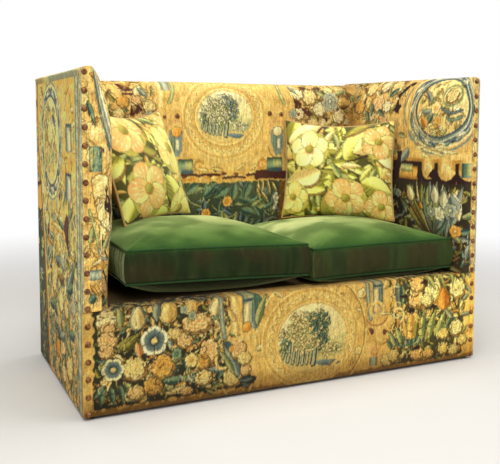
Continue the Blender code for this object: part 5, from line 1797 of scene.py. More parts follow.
@dataclass(frozen=True)
class TapestryWool:
    """Old woven tapestry: ribs, packed weft, faded and soiled wool."""

    rib: float = 0.0021
    weft: float = 0.0009
    worn: float = 0.16

    def material(self, name: str = "tapestry_wool") -> bpy.types.Material:
        """Make the finish."""
        graph = Graph(name)
        lie = graph.attribute("Lie")
        across, up, _ = graph.split(lie)
        rib = up.wave(self.rib)
        weft = across.wave(self.weft, up.wave(self.rib * 2) * math.pi)
        fuzz = graph.noise(lie, 700.0, 2.0)
        patch = graph.noise(lie, 14.0, 4.0, 0.6)
        slub = graph.noise(graph.stretch(lie, (1.0, 0.16, 1.0)), 500.0, 2.0)
        grain = graph.noise(graph.stretch(lie, (1.6, 1.0, 1.0)), 240.0, 1.0)
        light = 0.58 + rib * 0.1 + weft * 0.1 + fuzz * 0.24 + slub * 0.12 + grain * 0.46
        light = light - (patch - 0.5) * self.worn
        height = rib * 0.6 + weft * 0.25 + fuzz * 0.3 + slub * 0.35 + grain * 0.5
        return graph.finish(graph.shaded(light), 0.82 + fuzz * 0.12, height, 0.0007,
                            Sheen_Weight=0.05, Sheen_Roughness=0.6, Specular_IOR_Level=0.12)


@dataclass(frozen=True)
class Velvet:
    """Old green velvet: its colours from the mesh, with painted light and shade, crushed pile, and
    a pale bloom at its edges.
    """

    bloom: float = 1.0

    def material(self, name: str) -> bpy.types.Material:
        """Make the finish."""
        graph = Graph(name)
        place = graph.place()
        nap = graph.noise(place, 9.0, 4.0, 0.62)
        crush = graph.noise(graph.stretch(place, (1.0, 1.0, 1.6)), 52.0, 3.0, 0.6)
        pile = graph.noise(place, 900.0, 2.0)
        rub = graph.noise(graph.stretch(place, (1.0, 1.0, 0.35)), 40.0, 5.0, 0.7).band(0.55, 0.78)
        light = 0.55 + nap * 0.55 + crush * 0.3 + pile * 0.14
        colour = graph.mix(rub * 0.22, graph.shaded(light), tint("6a5c38"))
        height = crush * 0.5 + pile * 0.3 + nap * 0.6
        return graph.finish(colour, 0.72 + nap * 0.2, height, 0.0016, Sheen_Weight=self.bloom,
                            Sheen_Roughness=0.3, Sheen_Tint=tint("c4cf8c"),
                            Specular_IOR_Level=0.1)


@dataclass(frozen=True)
class PrintedCotton:
    """Heavy printed cotton with a plain weave."""

    thread: float = 0.0011

    def material(self, name: str) -> bpy.types.Material:
        """Make the finish."""
        graph = Graph(name)
        lie = graph.attribute("Lie")
        across, up, _ = graph.split(lie)
        weave = across.wave(self.thread) * 0.5 + up.wave(self.thread) * 0.5
        fuzz = graph.noise(lie, 1100.0, 2.0)
        patch = graph.noise(lie, 18.0, 3.0)
        light = 0.88 + weave * 0.1 + fuzz * 0.1 - patch * 0.1
        return graph.finish(graph.shaded(light), 0.78 + fuzz * 0.12,
                            weave * 0.7 + fuzz * 0.4, 0.0004, Sheen_Weight=0.1,
                            Specular_IOR_Level=0.3)


@dataclass(frozen=True)
class AgedMetal:
    """Metal that is dark in its hollows and rubbed bright where it stands proud."""

    dark: str = "43220f"
    bright: str = "a9703f"
    roughness: float = 0.26
    metallic: float = 0.7

    def material(self, name: str) -> bpy.types.Material:
        """Make the finish."""
        graph = Graph(name)
        place = graph.place()
        stain = graph.noise(place, 130.0, 4.0, 0.65)
        grit = graph.noise(place, 1400.0, 3.0, 0.7)
        share = (stain * 0.8 + grit * 0.3).band(0.38, 0.78)
        colour = graph.mix(share, tint(self.dark), tint(self.bright))
        return graph.finish(colour, self.roughness + (1 - share) * 0.28, grit * 0.5 + stain, 0.0004,
                            self.metallic)


class Grain(Enum):
    """The way that a timber's grain runs."""

    ACROSS = (0.9, 14.0, 14.0)
    DEEP = (14.0, 0.9, 14.0)
    UPRIGHT = (14.0, 14.0, 0.9)


@dataclass(frozen=True)
class Hardwood:
    """Planed hardwood with growth rings, pores and patches of dust."""

    grain: Grain

    def material(self, name: str) -> bpy.types.Material:
        """Make the finish."""
        graph = Graph(name)
        along = graph.stretch(graph.place(), self.grain.value)
        drift = graph.noise(along, 1.6, 3.0)
        rings = graph.node("ShaderNodeTexNoise", {}, {"Vector": along, "Scale": 9.0, "Detail": 5.0,
                                                      "Distortion": 0.6})
        pores = graph.noise(graph.stretch(along, (6.0, 6.0, 6.0)), 24.0, 2.0)
        fleck = pores.band(0.6, 0.74)
        wood = graph.mix(rings * 0.8 + drift * 0.2, tint("8a5f38"), tint("c79a68"))
        colour = graph.mix(fleck * 0.55, wood, tint("5f3e22"))
        dust = graph.noise(graph.place(), 26.0, 4.0, 0.7)
        colour = graph.mix(dust.band(0.52, 0.8) * 0.35, colour, tint("9b8a72"))
        return graph.finish(colour, 0.5 + rings * 0.2 + dust * 0.1,
                            rings * 0.4 - fleck * 0.8, 0.0004)


@dataclass(frozen=True)
class PlainWeave:
    """A coarse cloth of crossing threads, such as jute webbing, hessian or lining."""

    dark: str
    light: str
    thread: float
    stripe: str | None = None

    def material(self, name: str) -> bpy.types.Material:
        """Make the finish."""
        graph = Graph(name)
        place = graph.place()
        across, deep, up = graph.split(place)
        slub = graph.noise(graph.stretch(place, (1.0, 0.2, 1.0)), 420.0, 2.0)
        one = (across + up * 0.5).wave(self.thread, slub * 2.0)
        two = (deep + up * 0.5).wave(self.thread, slub * 2.0)
        over = one * two + (1 - one) * (1 - two)
        fibre = graph.noise(place, 1500.0, 3.0, 0.7)
        colour = graph.mix(over * 0.5 + fibre * 0.3 + slub * 0.3, tint(self.dark), tint(self.light))
        if self.stripe:
            line = across.wave(0.0252, 1.1).band(0.93, 0.97)
            colour = graph.mix(line * 0.6, colour, tint(self.stripe))
        return graph.finish(colour, 0.86 + fibre * 0.1, over * 0.8 + fibre * 0.4, 0.0006,
                            Specular_IOR_Level=0.2)


@dataclass(frozen=True)
class PalePlaster:
    """The pale floor that the sofa stands on."""

    near: float = 1.3
    far: float = 3.6

    def material(self, name: str) -> bpy.types.Material:
        """Make the finish: plain and pale near the sofa, and as white as the surround far off."""
        graph = Graph(name)
        place = graph.place()
        mottle = graph.noise(place, 3.0, 4.0)
        colour = graph.mix(mottle * 0.3, tint("dedbd5"), tint("e6e3de"))
        graph.finish(colour, 0.9, mottle, 0.0002)
        away = graph.node("ShaderNodeVectorMath", {"operation": "LENGTH"}, {0: place},
                          output="Value")
        seen = graph.node("ShaderNodeLightPath")
        share = away.band(self.near, self.far) * seen
        white = graph.node("ShaderNodeEmission", {}, {"Color": (1.0, 1.0, 1.0), "Strength": 1.0})
        plain = Term(graph, graph.shader.outputs[0])
        mixed = graph.node("ShaderNodeMixShader", {}, {0: share, 1: plain, 2: white})
        graph.feed(graph.tree.nodes["Material Output"].inputs["Surface"], mixed)
        return graph.material


# Covers

@dataclass
class Maker:
    """Puts pieces on their bodies."""

    finishes: dict[str, bpy.types.Material] = field(default_factory=dict)
    log: logging.Logger = field(default_factory=lambda: logging.getLogger("sofa"))

    def fit(self, piece: bpy.types.Object, finish: bpy.types.Material, slot: str,
            body: str = "sofa_frame", stands_for: tuple[str, ...] = ()) -> bpy.types.Object:
        """Dress a piece and let it ride.

        Args:
            piece: The piece in its place.
            finish: Its material.
            slot: The record's slot for its finish; not used.
            body: The body that it rides on.
            stands_for: The solids that it replaces.

        Returns:
            The piece.
        """
        piece.data.materials.clear()
        piece.data.materials.append(finish)
        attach(piece, body)
        if stands_for:
            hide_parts(*stands_for)
        self.log.info("%s: %d faces", piece.name, len(piece.data.polygons))
        return piece


def paint_shade(colours: np.ndarray, amount: np.ndarray, tone: Shade) -> np.ndarray:
    """Multiply display colours by a shade's tone, by a share for each: painted shade."""
    return blend(colours, colours * np.asarray(tone), amount)


def front_cloth(sign: int, along: np.ndarray, up: np.ndarray) -> np.ndarray:
    """The colours of the cloth that runs round an arm's front to its inside.

    Args:
        sign: Which arm it is.
        along: The measure on the cloth from the arm's outer front edge.
        up: The height on the cloth.

    Returns:
        Display colours, one row for each place.
    """
    start, ease = (0.086, 0.022) if sign < 0 else (0.024, 0.008)
    return blend(ARM_FRONT.read(along, up), ARM_INSIDE.read(along - PLAN.turned, up),
                 smooth_step((along - start) / ease))


@dataclass
class ArmLining:
    """The padded inside of one arm with its tapestry."""

    side: str
    sign: int
    step: float = 0.0031

    def build(self) -> bpy.types.Object:
        """Build the pad.

        Returns:
            The pad with its cloth's colours on it.
        """
        turns = np.linspace(math.asin(1 - PLAN.skin / PLAN.round_deep), 0.0, 18)
        deep = np.concatenate((PLAN.round_deep * (1 - np.sin(turns)),
                               np.arange(PLAN.round_deep + self.step, PLAN.back_frame, self.step),
                               [PLAN.back_frame - PLAN.gap, PLAN.back_frame],
                               np.linspace(PLAN.back_frame, PLAN.depth, 13)[1:]))
        swell, taken = PLAN.arm_swell(deep), PLAN.rounding(deep)
        section, run = ARM_CURVE.lines(swell, self.step, taken)
        round_it = np.hypot(np.diff(deep), np.diff(taken))
        along = np.concatenate(([0.0], np.cumsum(round_it)))
        along += PLAN.turned + PLAN.round_deep - along[len(turns) - 1]
        out, height = section[..., 0], section[..., 1]
        behind = deep >= PLAN.back_frame
        hook_out = ARM_CURVE.reach(np.full(len(deep), PLAN.hook), swell)
        low = (height < PLAN.hook - 1e-9) & behind[:, None]
        inner = np.arange(out.shape[1])[None] >= ARM_CURVE.hook_points
        out = np.where(low & inner, hook_out[:, None], out)
        height = np.where(low, PLAN.hook, height)
        ripple = self.wrinkles(deep[:, None], run[None, :])
        ripple = ripple * smooth_step((deep[:, None] - PLAN.skin) / 0.03)
        shown = inner & (height > PLAN.deck + 0.01) & ~low
        out = out + np.where(shown, PLAN.fullness(deep[:, None], height) - ripple, 0.0)
        height = height + np.where(shown, PLAN.arm_rise(out, height), 0.0)
        points = np.stack((self.sign * (PLAN.half_width - out),
                           np.broadcast_to(deep[:, None], out.shape), height), -1)
        piece = mesh_object(f"arm_lining_{self.side}", PLAN.set_out(points),
                            closed_faces(*out.shape))
        measure = np.broadcast_to(along[:, None], out.shape)
        cloth = front_cloth(self.sign, measure, np.broadcast_to(run[None], out.shape))
        # Painted shade: darker towards the back corner and low down near the seat.
        corner = smooth_step((deep[:, None] - 0.52) / 0.08) * 0.35
        foot = smooth_step((0.5 - height) / 0.12) * 0.4
        cloth = paint_shade(cloth, np.maximum(corner, foot), shade("6e5226"))
        lay_cloth(piece, cloth, measure, run[None])
        weld(piece)
        return piece

    def wrinkles(self, deep: np.ndarray, up: np.ndarray) -> np.ndarray:
        """How deep the cloth dips below its taut line at places on the arm."""
        slack = lattice_noise(deep * 1.3, up + deep * 0.5, 0.13, 3 + self.sign) * 0.0045
        fine = lattice_noise(deep * 2.2, up + deep, 0.05, 9 + self.sign) * 0.0012
        return slack + fine


@dataclass
class BackLining:
    """The padded inside of the back with its tapestry."""

    step: float = 0.0032

    def build(self) -> bpy.types.Object:
        """Build the pad.

        Returns:
            The pad with its cloth's colours on it.
        """
        part = np.linspace(-1, 1, 392)
        nominal = part * (PLAN.half_width - PLAN.arm - 0.01)
        section, run = BACK_CURVE.lines(PLAN.back_swell(nominal), self.step)
        deep, height = PLAN.depth - section[..., 0], section[..., 1]
        limit = (PLAN.half_width - PLAN.gap
                 - ARM_CURVE.reach(np.minimum(height, PLAN.height), PLAN.arm_swell(deep)))
        across = part[:, None] * limit
        inner = np.arange(deep.shape[1])[None] >= BACK_CURVE.hook_points
        shown = inner & (height > PLAN.deck + 0.01)
        edge = smooth_step((1 - np.abs(part)) / 0.08)[:, None]
        sag = lattice_noise(across, run[None] * 1.2, 0.17, 5) * 0.006
        sag += lattice_noise(across * 2, run[None] + across * 0.3, 0.06, 6) * 0.0012
        top = smooth_step((height - 0.965) / 0.015)
        deep = deep + np.where(shown, sag * edge * (1 - top), 0.0)
        height = height - np.where(shown, sag * edge * top * 0.7, 0.0)
        points = np.stack((across, deep, height), -1)
        piece = mesh_object("back_lining", PLAN.set_out(points), closed_faces(*deep.shape))
        cloth = BACK_INSIDE.read(across, np.broadcast_to(run[None], across.shape))
        # Painted shade: darker in the corners by the arms and low down behind the cushions.
        corner = smooth_step((np.abs(across) - 0.54) / 0.05) * 0.35
        under = smooth_step((0.52 - height) / 0.1) * 0.3
        cloth = paint_shade(cloth, np.maximum(corner, under), shade("6e5226"))
        lay_cloth(piece, cloth, across, run[None])
        weld(piece)
        return piece


@dataclass
class Panel:
    """A flat cover that is stretched over one side of the frame."""

    name: str
    low: tuple[float, float]
    high: tuple[float, float]
    step: float
    slack: float
    seed: int

    def grid(self) -> tuple[np.ndarray, np.ndarray, np.ndarray]:
        """The panel's places along and up, and how far the cloth stands from flat."""
        along, up = np.meshgrid(*(np.linspace(low, high, int((high - low) / self.step))
                                  for low, high in zip(self.low, self.high)))
        edge = np.minimum(np.minimum(along - self.low[0], self.high[0] - along),
                          np.minimum(up - self.low[1], self.high[1] - up))
        wave = lattice_noise(along + up * 0.2, up * 0.6, 0.16, self.seed) - 0.35
        fine = lattice_noise(along * 2.5, up * 0.7 + along, 0.07, self.seed + 1) - 0.5
        tight = smooth_step(edge / 0.06)
        return along, up, (wave * self.slack + fine * self.slack * 0.3) * tight

    def dress(self, points: np.ndarray, along: np.ndarray, up: np.ndarray, cloth: Picture,
              inward: tuple[float, float, float], mirror: bool = False) -> bpy.types.Object:
        """Make the cover's mesh with its colours.

        Args:
            points: Its places in the sofa's measure.
            along, up: The same places on the cloth.
            cloth: The picture woven in it.
            inward: Which way its hem turns.
            mirror: Whether the faces run the other way round.

        Returns:
            The cover.
        """
        faces = grid_faces(*along.shape)
        if mirror:
            faces = [face[::-1] for face in faces]
        piece = mesh_object(self.name, PLAN.set_out(points), faces)
        # Painted shade: darker towards the bottom.
        foot = smooth_step((0.4 - up) / 0.4) * 0.3
        lay_cloth(piece, paint_shade(cloth.read(along, up), foot, shade("5e4418")), along, up)
        turn_rim(piece, inward)
        return piece


@dataclass
class ArmFront:
    """The narrow cover on the front of one arm, cut to the arm's outline."""

    side: str
    sign: int
    step: float = 0.0021
    edge: float = 0.008
    flat_columns: int = 28

    def build(self) -> bpy.types.Object:
        """Build the cover, padded a little between its nails and its inner edge."""
        level, flat = PLAN.height - self.edge, self.flat_columns
        height = np.concatenate((np.arange(PLAN.rest, level, self.step),
                                 level + self.edge * np.sin(np.linspace(0, math.pi / 2, 7))))
        outer = np.where(height > level, self.edge * (1 - np.sqrt(np.clip(
            1 - ((height - level) / self.edge) ** 2, 0, 1))), 0.0)
        turns = np.linspace(math.pi / 2, math.asin(1 - PLAN.cover / PLAN.round_deep), 12)
        deep = np.concatenate((np.zeros(flat), PLAN.round_deep * (1 - np.sin(turns[1:]))))
        taken = PLAN.rounding(deep)
        zero = np.zeros_like(height)[:, None]
        out = ARM_CURVE.reach(height[:, None], zero, taken[None])
        last = out[:, flat - 1:flat]
        out[:, :flat] = outer[:, None] + (last - outer[:, None]) * np.linspace(0, 1, flat)[None]
        steps = np.hypot(np.diff(taken), np.diff(deep))[flat - 1:]
        measure = out.copy()
        measure[:, flat:] = last + np.cumsum(steps)[None]
        up = np.broadcast_to(height[:, None], out.shape)
        rise = smooth_step((out - 0.022) / 0.014) * (1 - smooth_step((out - 0.048) / 0.02))
        puff = 0.0018 * rise + (lattice_noise(out, up * 0.6, 0.03, 4) - 0.5) * 0.0014 * rise
        points = np.stack((self.sign * (PLAN.half_width - out), deep[None] - puff,
                           up + PLAN.arm_rise(out, up)), -1)
        faces = grid_faces(*out.shape)
        if self.sign > 0:
            faces = [face[::-1] for face in faces]
        piece = mesh_object(f"arm_front_{self.side}", PLAN.set_out(points), faces)
        lay_cloth(piece, front_cloth(self.sign, measure, up), out, up)
        turn_rim(piece, (0.0, PLAN.cover, 0.0))
        return piece


@dataclass
class SeatFront:
    """The cover of the seat front, which rolls over the edge and lies on the deck."""

    step: float = 0.0026
    radius: float = 0.009
    flap: float = 0.07

    def build(self) -> bpy.types.Object:
        """Build the cover, a little fuller halfway up."""
        straight = np.arange(PLAN.bottom, PLAN.deck - self.radius, self.step)
        angles = np.linspace(0, math.pi / 2, 6)
        deep = np.concatenate((np.zeros(len(straight)), self.radius * (1 - np.cos(angles)),
                               np.linspace(self.radius, self.flap, 16)[1:]))
        height = np.concatenate((straight, PLAN.deck - self.radius * (1 - np.sin(angles)),
                                 np.full(15, PLAN.deck)))
        run = np.concatenate(([0.0], np.cumsum(np.hypot(np.diff(deep), np.diff(height)))))
        run += PLAN.bottom
        edge = PLAN.deck_half
        side = np.arange(edge, PLAN.half_width, self.step)
        across = np.concatenate((-side[::-1], np.linspace(-edge, edge, int(2 * edge / self.step)),
                                 side))
        across = np.unique(np.round(np.append(across, (-PLAN.half_width, PLAN.half_width)), 6))
        u, v = np.meshgrid(across, run)
        part = np.clip((v - PLAN.bottom) / (PLAN.deck - PLAN.bottom), 0, 1)
        middle = np.sin(math.pi * part) ** 0.7 * smooth_step((0.675 - np.abs(u)) / 0.05)
        slack = lattice_noise(u * 1.1, v * 0.8 + u * 0.1, 0.12, 12) - 0.3
        crease = lattice_noise(u * 3, v * 0.7, 0.08, 13) - 0.5
        puff = (0.0035 + slack * 0.003 + crease * 0.0012) * middle
        puff = np.where(deep[:, None] > 0.0001, 0.0, puff)
        points = np.stack((u, deep[:, None] - puff, height[:, None] + 0 * u), -1)
        keep = ~((np.abs((across[1:] + across[:-1]) / 2) > edge)[None]
                 & (deep[1:] > 0.0041)[:, None])
        piece = mesh_object("seat_front", PLAN.set_out(points),
                            grid_faces(*u.shape, keep=keep))
        cloth = SEAT_FRONT.read(u, v)
        # Painted light: the right part of the seat front is made lighter.
        lighter = smooth_step((u - 0.26) / 0.24)[..., None] * np.array((0.21, 0.2, 0.06))
        cloth = cloth * (1 + lighter)
        # Painted shade: a little darker all over, more towards the floor and at the top edge under
        # the cushions.
        foot = 0.16 + smooth_step((0.09 - v) / 0.08) * 0.42
        lip = smooth_step((v - 0.285) / 0.03) * 0.35
        cloth = paint_shade(cloth, np.maximum(foot, lip), shade("5e4418"))
        lay_cloth(piece, cloth, u, v)
        drop_loose(piece)
        turn_rim(piece, (0.0, 0.0037, 0.0))
        return piece


@dataclass
class NailRow:
    """The domed nails down one arm front."""

    side: str
    sign: int
    count: int = 20
    inset: float = 0.0145
    top: float = 0.9705
    pitch: float = 0.0502
    radius: float = 0.0088
    height: float = 0.0048
    stray: float = 0.0006
    sides: int = 20

    def build(self) -> bpy.types.Object:
        """Build the row, with every dome set a little differently, as hand driven nails are."""
        random = np.random.default_rng(11 + self.sign)
        sides = self.sides
        profile = [(0.94, -0.12), (1.0, -0.05)] + [
            (math.cos(angle) ** 0.85, math.sin(angle))
            for angle in np.linspace(0, math.pi / 2, 7)[:-1]]
        points, faces = [], []
        for index in range(self.count):
            base = len(points)
            x = self.sign * (PLAN.half_width - self.inset) + random.uniform(-1, 1) * self.stray
            z = self.top - self.pitch * index + random.uniform(-1, 1) * self.stray
            lean_x, lean_z = random.uniform(-0.08, 0.08, 2)
            for wide, high in profile:
                for step in range(sides):
                    turn = 2 * math.pi * step / sides
                    dx = math.cos(turn) * wide * self.radius
                    dz = math.sin(turn) * wide * self.radius
                    points.append((x + dx, -self.height * high + lean_x * dx + lean_z * dz, z + dz))
            points.append((x, -self.height, z))
            rings = len(profile)
            for ring in range(rings - 1):
                for step in range(sides):
                    a = base + ring * sides + step
                    b = base + ring * sides + (step + 1) % sides
                    faces.append((a, a + sides, b + sides, b))
            last = base + (rings - 1) * sides
            for step in range(sides):
                faces.append((last + step, base + rings * sides, last + (step + 1) % sides))
            faces.append(tuple(range(base, base + sides)))
        return mesh_object(f"nail_row_{self.side}", PLAN.set_out(np.array(points)), faces)


# Cushions

# How near to a face of the unit block a point has to be to count as on it
NEAR = 1e-6


def block(cells: tuple[int, int, int]) -> bpy.types.Object:
    """A unit cube with its faces divided into cells along x, y and z."""
    bm = bmesh.new()
    bmesh.ops.create_cube(bm, size=1.0)
    for axis, count in enumerate(cells):
        if count > 1:
            along = [edge for edge in bm.edges
                     if abs(edge.verts[0].co[axis] - edge.verts[1].co[axis]) > 0.5]
            bmesh.ops.subdivide_edges(bm, edges=along, cuts=count - 1, use_grid_fill=True)
    bmesh.ops.recalc_face_normals(bm, faces=bm.faces)
    mesh = bpy.data.meshes.new("block")
    bm.to_mesh(mesh)
    bm.free()
    return link(bpy.data.objects.new("block", mesh))


def read_points(mesh: bpy.types.Mesh) -> np.ndarray:
    """The places of a mesh's points."""
    points = np.empty(len(mesh.vertices) * 3, np.float32)
    mesh.vertices.foreach_get("co", points)
    return points.reshape(-1, 3).astype(float)


def write_points(mesh: bpy.types.Mesh, points: np.ndarray) -> None:
    """Move a mesh's points."""
    mesh.vertices.foreach_set("co", np.asarray(points, np.float32).ravel())
    mesh.update()


def inflate(piece: bpy.types.Object, pinned: np.ndarray, pressure: float, cap: float,
            frames: int = 20) -> None:
    """Blow a cover up like a filled cushion, with its seams held.

    Args:
        piece: The closed cover.
        pinned: The numbers of the points on its seams.
        pressure: The pressure inside.
        cap: The furthest that a point may move.
        frames: How long the cloth moves.
    """
    group = piece.vertex_groups.new(name="seams")
    group.add(pinned.tolist(), 1.0, "REPLACE")
    start = read_points(piece.data)
    cloth = piece.modifiers.new("cover", "CLOTH")
    settings = cloth.settings
    settings.quality = 5
    settings.mass = 0.25
    settings.tension_stiffness = 12.0
    settings.compression_stiffness = 8.0
    settings.shear_stiffness = 4.0
    settings.bending_stiffness = 0.4
    settings.use_pressure = True
    settings.uniform_pressure_force = pressure
    settings.vertex_group_mass = "seams"
    settings.effector_weights.gravity = 0.0
    cloth.collision_settings.use_collision = False
    scene = bpy.context.scene
    for frame_number in range(1, frames + 1):
        scene.frame_set(frame_number)
    graph = bpy.context.evaluated_depsgraph_get()
    held = piece.evaluated_get(graph).to_mesh()
    moved = read_points(held)
    piece.evaluated_get(graph).to_mesh_clear()
    scene.frame_set(1)
    piece.modifiers.remove(cloth)
    piece.vertex_groups.clear()
    shift = moved - start
    length = np.linalg.norm(shift, axis=1)
    shift *= np.minimum(1.0, cap / np.maximum(length, 1e-9))[:, None]
    write_points(piece.data, start + shift)


def subdivide(piece: bpy.types.Object) -> None:
    """Replace a piece's mesh by its smoother, finer subdivision."""
    piece.modifiers.new("finer", "SUBSURF").levels = 1
    bpy.context.view_layer.update()
    graph = bpy.context.evaluated_depsgraph_get()
    mesh = bpy.data.meshes.new_from_object(piece.evaluated_get(graph))
    piece.modifiers.clear()
    piece.data = mesh
    mesh.polygons.foreach_set("use_smooth", [True] * len(mesh.polygons))


def humped(value: np.ndarray, power: float) -> np.ndarray:
    """One in the middle of a side and zero at its ends."""
    return np.clip(1 - value * value, 0, None) ** power


@dataclass
class SeatCushion:
    """A boxed seat cushion: crowned faces, a border and piping on both seams."""

    side: str
    sign: int
    lift: float
    tilt: float
    arm_gap: float
    width: float
    depth: float = 0.572
    border: float = 0.098
    setback: float = 0.018
    cells: int = 56
    border_cells: int = 9
    piping: float = 0.0031
    seam_round: float = 0.008
    side_dip: float = 0.01

    def shaped(self, unit: np.ndarray) -> np.ndarray:
        """Shape a unit block into the cushion.

        Args:
            unit: Places in the block, from -0.5 to 0.5.

        Returns:
            Places in the sofa's measure.
        """
        middle_y = self.setback + self.depth / 2
        middle_z = PLAN.rest + self.lift + self.border / 2
        half_x, half_y = self.width / 2 - self.seam_round, self.depth / 2 - self.seam_round
        u, v, w = np.sin(unit[:, 0] * math.pi), np.sin(unit[:, 1] * math.pi), 2 * unit[:, 2]
        bulge = self.seam_round * (1 - w * w)
        across, deep = (
            way * (half - self.side_dip * humped(other, 1.0)) + bulge * np.sign(way) * way ** 8
            for way, other, half in ((u, v, half_x), (v, u, half_y)))
        dome = humped(u, 0.42) * humped(v, 0.42)
        face = np.abs(w) > 0.999
        swell = np.where(w > 0, 0.048, 0.060)
        height = middle_z + w * self.border / 2 - self.tilt * u
        height = height + np.where(face, np.sign(w) * swell * dome, 0.0)
        return np.stack((self.middle() + across, middle_y + deep, np.maximum(PLAN.rest, height)), 1)

    def build(self) -> tuple[bpy.types.Object, list[bpy.types.Object]]:
        """Build the cushion and its piping.

        Returns:
            The cushion and the two lengths of piping.
        """
        piece = block((self.cells, self.cells, self.border_cells))
        unit = read_points(piece.data)
        on_face = np.abs(np.abs(unit[:, 2]) - 0.5) < NEAR
        on_side = np.maximum(np.abs(unit[:, 0]), np.abs(unit[:, 1])) > 0.5 - NEAR
        seams = np.flatnonzero(on_face & on_side)
        write_points(piece.data, self.shaped(unit))
        inflate(piece, seams, 3.0, 0.012)
        points = read_points(piece.data)
        u, v = unit[:, 0] * 2, unit[:, 1] * 2
        top = (unit[:, 2] > 0.5 - NEAR) & ~on_side
        dent = lattice_noise(u * 0.3 + 3, v * 0.3, 0.11, 40 + self.sign) * 0.006
        points[:, 2] -= np.where(top, dent * humped(u, 0.5) * humped(v, 0.5), 0.0)
        border = on_side & ~on_face
        turn = np.arctan2(v, u)
        pucker = np.sin(turn * 61 + 2 * np.sin(turn * 7)) * 0.0008 + np.sin(turn * 23) * 0.001
        outward = np.stack((np.cos(turn), np.sin(turn)), 1) * pucker[:, None]
        points[border, :2] += outward[border]
        points[:, 2] = np.clip(points[:, 2], PLAN.rest, None)
        low, high = self.middle() - self.width / 2, self.middle() + self.width / 2
        points[:, :2] = np.clip(points[:, :2], (low, self.setback),
                                (high, self.setback + self.depth))
        write_points(piece.data, points)
        loops = []
        for level in (0.5, -0.5):
            ring = np.flatnonzero(on_side & (np.abs(unit[:, 2] - level) < NEAR))
            loops.append(points[ring][np.argsort(turn[ring])])
        set_attribute(piece, "Dyed", as_linear(self.dye(unit, points)))
        subdivide(piece)
        write_points(piece.data, PLAN.set_out(np.maximum(
            read_points(piece.data), (-9.0, -9.0, PLAN.rest))))
        piece.name = f"velvet_cushion_{self.side}"
        pipes = []
        for label, loop in zip(("top", "base"), loops):
            fine = eased(loop)
            run = np.arange(len(fine))
            radius = self.piping * (1 + 0.06 * np.sin(run * 1.7) + 0.05 * np.sin(run * 0.61))
            fine[:, 2] = np.maximum(fine[:, 2], PLAN.rest + self.piping * 1.15)
            pipes.append(tube(f"cushion_piping_{label}_{self.side}", PLAN.set_out(fine), radius))
        return piece, pipes

    def dye(self, unit: np.ndarray, points: np.ndarray) -> np.ndarray:
        """The velvet's colours: brushed on top and worn on the border, with painted sheen and
        shade.

        Args:
            unit: The points' places in the block.
            points: Their places on the cushion.

        Returns:
            Display colours, one row for each point.
        """
        x, y, z = points.T
        u, v, w = (unit * 2).T
        patches = (lattice_noise(x * 1.2 + 3, y, 0.11, 60 + self.sign)
                   + 0.5 * lattice_noise(x, y * 1.4, 0.045, 61 + self.sign)) / 1.5
        brushed = smooth_step((patches - 0.32) / 0.36)
        top = blend(shade("35521f"), shade("5f7c38"), brushed * 0.75)
        # Painted sheen: the top grows pale towards its back.
        painted_sheen = smooth_step((v + 0.66) / 0.75) * (0.35 + 0.65 * brushed)
        top = blend(top, shade("c4cb88"), painted_sheen * 0.95)
        # Painted shade: the front of the top is darker.
        top = blend(top, shade("1f4014"), smooth_step((-0.55 - v) / 0.42) * 0.75)
        # Upright streaks on the border: painted light and shade of its gathers.
        fold = (lattice_noise(x + y, z * 0.08, 0.006, 70 + self.sign)
                + lattice_noise(x + y, z * 0.12, 0.017, 74 + self.sign)) / 2
        fold = smooth_step((fold - 0.3) / 0.4)
        wear = smooth_step((lattice_noise(x + y, z * 0.8, 0.06, 80) - 0.35) / 0.3)
        lift = 0.0 if self.sign < 0 else 0.35
        # Painted shade: the border is much darker than the top.
        border = blend(shade("1c2610"), shade("384420"), fold * 0.4 + lift)
        border = blend(border, shade("3a2c16"), wear * 0.5)
        # Painted sheen along the border next to its seams.
        level = smooth_step((np.abs(w) - 0.7) / 0.28) * (0.45 + 0.55 * fold)
        border = blend(border, shade("2c5226"), level * 0.8)
        # Painted light and shade on the ends: the left end darker, the right end lighter green.
        ends = smooth_step((np.abs(u) - 0.9) / 0.1) * 0.5
        border = blend(border, shade("2e5428" if self.sign > 0 else "0c1406"), ends)
        colours = blend(border, top, smooth_step((w - 0.94) / 0.06))
        # Painted shade: the underside is near black.
        return blend(colours, shade("0a0f06"), smooth_step((-0.97 - w) / 0.03))

    def middle(self) -> float:
        """The cushion's middle across the sofa."""
        return self.sign * (PLAN.seat_half - self.arm_gap - self.width / 2)


